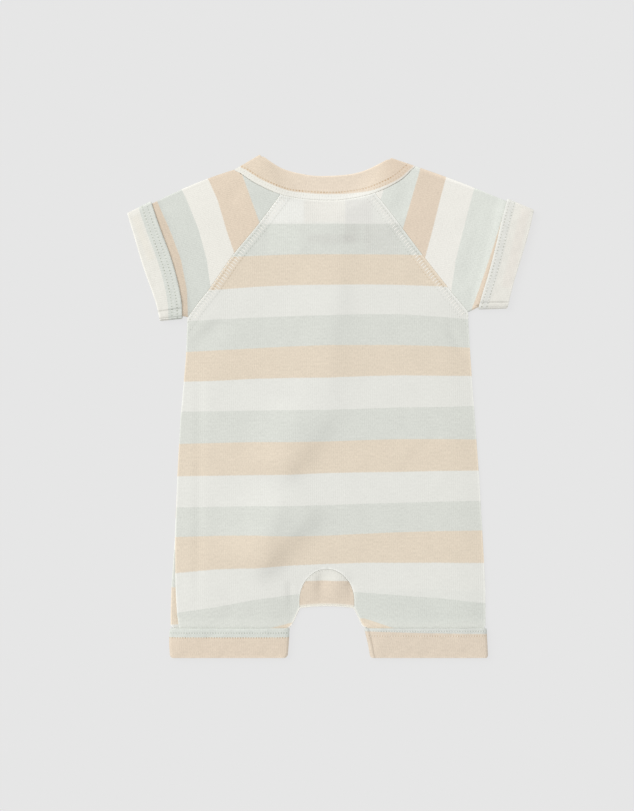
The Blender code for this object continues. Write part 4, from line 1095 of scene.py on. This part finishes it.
# ------------------------------
# The leg cuffs: the legs' ends turned up in the same way. The stripe's change from sage to beige
# runs along them, close under the free fold.
# ------------------------------
LEG_CUFF_ROWS = {"left": (3.9, 7.8), "right": (2.5, 6.4)}            # mm from the free fold
LEG_CUFF_CHANGE = {"left": ((-132.0, -34.0), (7.4, 7.4)),            # x, and how far below the fold
                   "right": ((28.0, 78.0, 128.0), (2.5, 3.9, 4.7))}
LEG_CUFF_COLOURS = {"left": {"sage": "D9DCD5", "beige": "E2D3C0"},
                    "right": {"sage": "D6D8D2", "beige": "E0D2C0"}}
LEG_CUFF_SEAMS = {"left": (), "right": (0.038,)}                     # share of the width
for side, depth in (("left", 0.8), ("right", 0.5)):
    sizes = LEG_CUFFS[side]
    y = sizes["y"][0] - fine(sizes["y"][0] - sizes["y"][-1], CUFF_STATIONS, EDGE_STEPS, CUFF_ROWS)
    low_x, high_x = (at_height(sizes, name, y) for name in ("outer", "inner")[::int(-SIGN[side])])
    near_seams = [seam + 0.004 * beside for seam in LEG_CUFF_SEAMS[side] for beside in range(-2, 3)]
    # No column but the ends' own comes within a fold's reach of the ends.
    even = np.linspace(0.03, 0.97, CUFF_COLUMNS["leg"])
    columns = np.unique(np.concatenate([[0.0, 1.0], even, near_seams]))
    lines = pair(blend(low_x[:, None], high_x[:, None], columns), y[:, None])
    change_x, change = np.array(LEG_CUFF_CHANGE[side]) * MM
    piece = cuff(f"turned_cuff_leg_{side}", lines,
                 lambda place, away: STRIPE + away - np.interp(place + lines[0, 0, 0], change_x, change),
                 [pair(blend(low_x, high_x, seam), y) for seam in LEG_CUFF_SEAMS[side]])
    sew_cuff("leg", side, piece, lines[0], (0.200, 0.026), LEG_CUFF_ROWS[side], -1.0,
             pitch=2.15, radius=0.7, depth=depth, **LEG_CUFF_COLOURS[side])

# ------------------------------
# The neckband: a strip of the jersey folded double round the neck, its ends lapped at the centre
# front. A row of needle holes runs along it above its sewn edge, which is cream.
# ------------------------------
CREAM_EDGE = np.array([(0.0, 92.0, 109.0, 122.0, 139.0, 157.0),      # along the sewn edge
                       (5.2, 4.9, 4.0, 2.7, 2.1, 1.4)]) * MM         # its width there
HOLE_ROW = 6.4             # mm above the sewn edge
MIDDLE_TINT, MIDDLE_REACH = np.array([1.06, 1.07, 1.1]), 38.0 * MM       # paler behind the neck
RIGHT_TINT, RIGHT_FROM = np.array([0.95, 0.925, 0.92]), (35.0 * MM, 55.0 * MM)      # darker at the right
BAND_COLUMNS = {"left": 30, "right": 27, "back": 58}       # even ones
LAP_SHARE = 0.012          # from the end of the last even column to a lap's end, as a share of the front


def share_at_x(path, x):
    """The share of its length at which a path that runs from left to right passes x."""
    return np.interp(x, path[:, 0], milestones(path)) / path_length(path)


def neckband():
    """Rows from the top fold down to the sewn edge. Columns run from the outer lap's end up the left
    front, over the left shoulder, along the back, over the right shoulder and down to the inner lap."""
    share = np.concatenate([[0.0, 0.003, 0.01, 0.022, 0.04, 0.065], np.linspace(0.1, 0.9, 18),
                            [0.935, 0.96, 0.978, 0.99, 0.997, 1.0]])[:, None, None]
    near = np.array([0.006, 0.003, 0.001, 0.0])
    left, right = [], []
    for path in (BAND_TOP_FRONT, BAND_FOOT_FRONT):
        left_end, right_end = share_at_x(path, LAP_RIGHT), share_at_x(path, LAP_LEFT)
        even_left = np.linspace(0.0, left_end - LAP_SHARE, BAND_COLUMNS["left"])
        even_right = np.linspace(right_end + LAP_SHARE, 1.0, BAND_COLUMNS["right"])
        left.append(shares(path, np.append(even_left, left_end - near))[None])
        right.append(shares(path, np.append(right_end + near[::-1], even_right))[None])
    back_places = np.linspace(0.0, 1.0, BAND_COLUMNS["back"])
    middle = blend(*(shares(path, back_places)[None] for path in (BAND_TOP_BACK, BAND_FOOT_BACK)), share)
    left, right = blend(*left, share), blend(*right, share)
    low = back_underside(middle, WALL)
    beside_lap = 1.0 - step(right[..., 0], LAP_RIGHT + 1.3 * GAP, LAP_RIGHT + LAP_RAMP)
    right_low = (BAND_WALL + GAP) * beside_lap
    ends = [middle[:, 1] - middle[:, 0] + left[:, 1] - left[:, 0],
            middle[:, -2] - middle[:, -1] + right[:, -2] - right[:, -1]]
    pressed = left[:, :0:-1]
    runs = [(lift(pressed, stud_press(pressed)), lift(pressed, BAND_WALL)),
            fold(middle[:, 0], ends[0], 0.0 * low[:, 0], low[:, 0] + BAND_WALL, BAND_WALL, -1),
            layer(middle[:, 2:-2], low[:, 2:-2], BAND_WALL, 1),
            fold(middle[:, -1], ends[1], 0.0 * low[:, -1], low[:, -1] + BAND_WALL, BAND_WALL, 1),
            layer(right[:, -2::-1], right_low[:, -2::-1], BAND_WALL, -1)]
    outer, inner = (np.concatenate(part, axis=1) for part in zip(*runs))
    from_laps = [np.linalg.norm(outer - outer[:, column, None], axis=-1) for column in (0, -1)]
    from_top, up = from_ends(outer)
    outer, inner = soften(outer, inner, np.minimum.reduce([from_top, up, *from_laps]), BAND_WALL, 0.5, 0.45)
    place = nearest(outer[..., :2], BAND_FOOT_BACK)[1]
    edge = np.interp(place, *CREAM_EDGE)
    flat = pair(around(outer), 2 * STRIPE + edge - up)
    x = outer[..., 0, None]
    tint = blend(1.02, MIDDLE_TINT, np.exp(-(x / MIDDLE_REACH) ** 4))
    tint = tint * blend(1.0, RIGHT_TINT, step(x, *RIGHT_FROM))
    tint = tint * edge_light(nearest(outer[..., :2], SILHOUETTE)[0])
    return cloth_mesh("neckband_strip", (outer, inner, flat, pair(place, up), tint))


neck_jersey = jersey("neckband", beige="E3D4C0", cream="EBE9E0",
                     holes=((HOLE_ROW, STITCH_PITCH, 0.95, 0.85, 0.0), (3.2, STITCH_PITCH, 0.6, 0.4, 0.5)))
band_piece = place_piece(neckband(), neck_jersey, "neckband_jersey", "neckband")


def band_top(xy):
    """The upper face of the neckband on the back."""
    return back_underside(xy, WALL) + BAND_WALL


place_piece(row_stitches("neckband_stitches", BAND_FOOT_BACK, HOLE_ROW * MM, band_top, ends=4.0 * MM),
            thread("spun_polyester_thread_beige", "DCCBB4"), "neckband_jersey")

# ------------------------------
# The floor, the light and the camera: a plain pale surface that glows a little, so that shadows
# on it stay faint, a wide soft light from the upper left, and a lens straight above.
# ------------------------------


def paper(name, colour, glow):
    """Matt white background paper with a fine tooth, partly lit from within like a light table."""
    material, tree = blank(name)
    place = add(tree, "TexCoord").outputs["Object"]
    tooth = add(tree, "TexNoise", {"Vector": place, "Scale": 900.0, "Detail": 3.0})
    bump = add(tree, "Bump", {"Strength": 0.05, "Distance": 0.1 * MM, "Height": tooth})
    grey = linear(colour)[0]
    shader = add(tree, "BsdfPrincipled",
                 {"Base Color": (grey * (1 - glow),) * 3 + (1.0,), "Roughness": 1.0,
                  "Specular IOR Level": 0.0, "Emission Color": (1.0, 1.0, 1.0, 1.0),
                  "Emission Strength": grey * glow, "Normal": bump})
    add(tree, "OutputMaterial", (shader,))
    return material


floor_corners = np.array([(-3.0, -3.0), (3.0, -3.0), (3.0, 3.0), (-3.0, 3.0)])
floor = link_mesh("floor", lift(floor_corners, -0.02 * MM), [(0, 1, 2, 3)])
floor.data.materials.append(paper("matt_background_paper", "E6E6E6", 0.9))

key = bpy.data.objects.new("soft_key_light", bpy.data.lights.new("soft_key_light", "SUN"))
key.data.energy = 1.5
key.data.angle = math.radians(40.0)
key.rotation_euler = (math.radians(-20.0), math.radians(-38.0), 0.0)
bpy.context.scene.collection.objects.link(key)
world = bpy.data.worlds.new("studio")
world.use_nodes = True
world.node_tree.nodes["Background"].inputs[0].default_value = (1.0, 1.0, 1.0, 1.0)
world.node_tree.nodes["Background"].inputs[1].default_value = 0.65
bpy.context.scene.world = world
bpy.context.scene.view_settings.view_transform = "Standard"

FRAME_HEIGHT = 665.0 * MM      # what the photograph's 811 rows take in
FRAME_CENTRE = (-11.1 * MM, 0.4 * MM)
CLOTH_HEIGHT = 4.0 * MM        # where that height is measured
camera = bpy.data.objects.new("camera", bpy.data.cameras.new("camera"))
camera.data.lens = 100.0
camera.data.sensor_width = camera.data.sensor_height = 36.0
camera.data.sensor_fit = "VERTICAL"
camera.data.clip_end = 20.0
camera.location = (*FRAME_CENTRE, CLOTH_HEIGHT + FRAME_HEIGHT * camera.data.lens / camera.data.sensor_height)
bpy.context.scene.collection.objects.link(camera)
bpy.context.scene.camera = camera
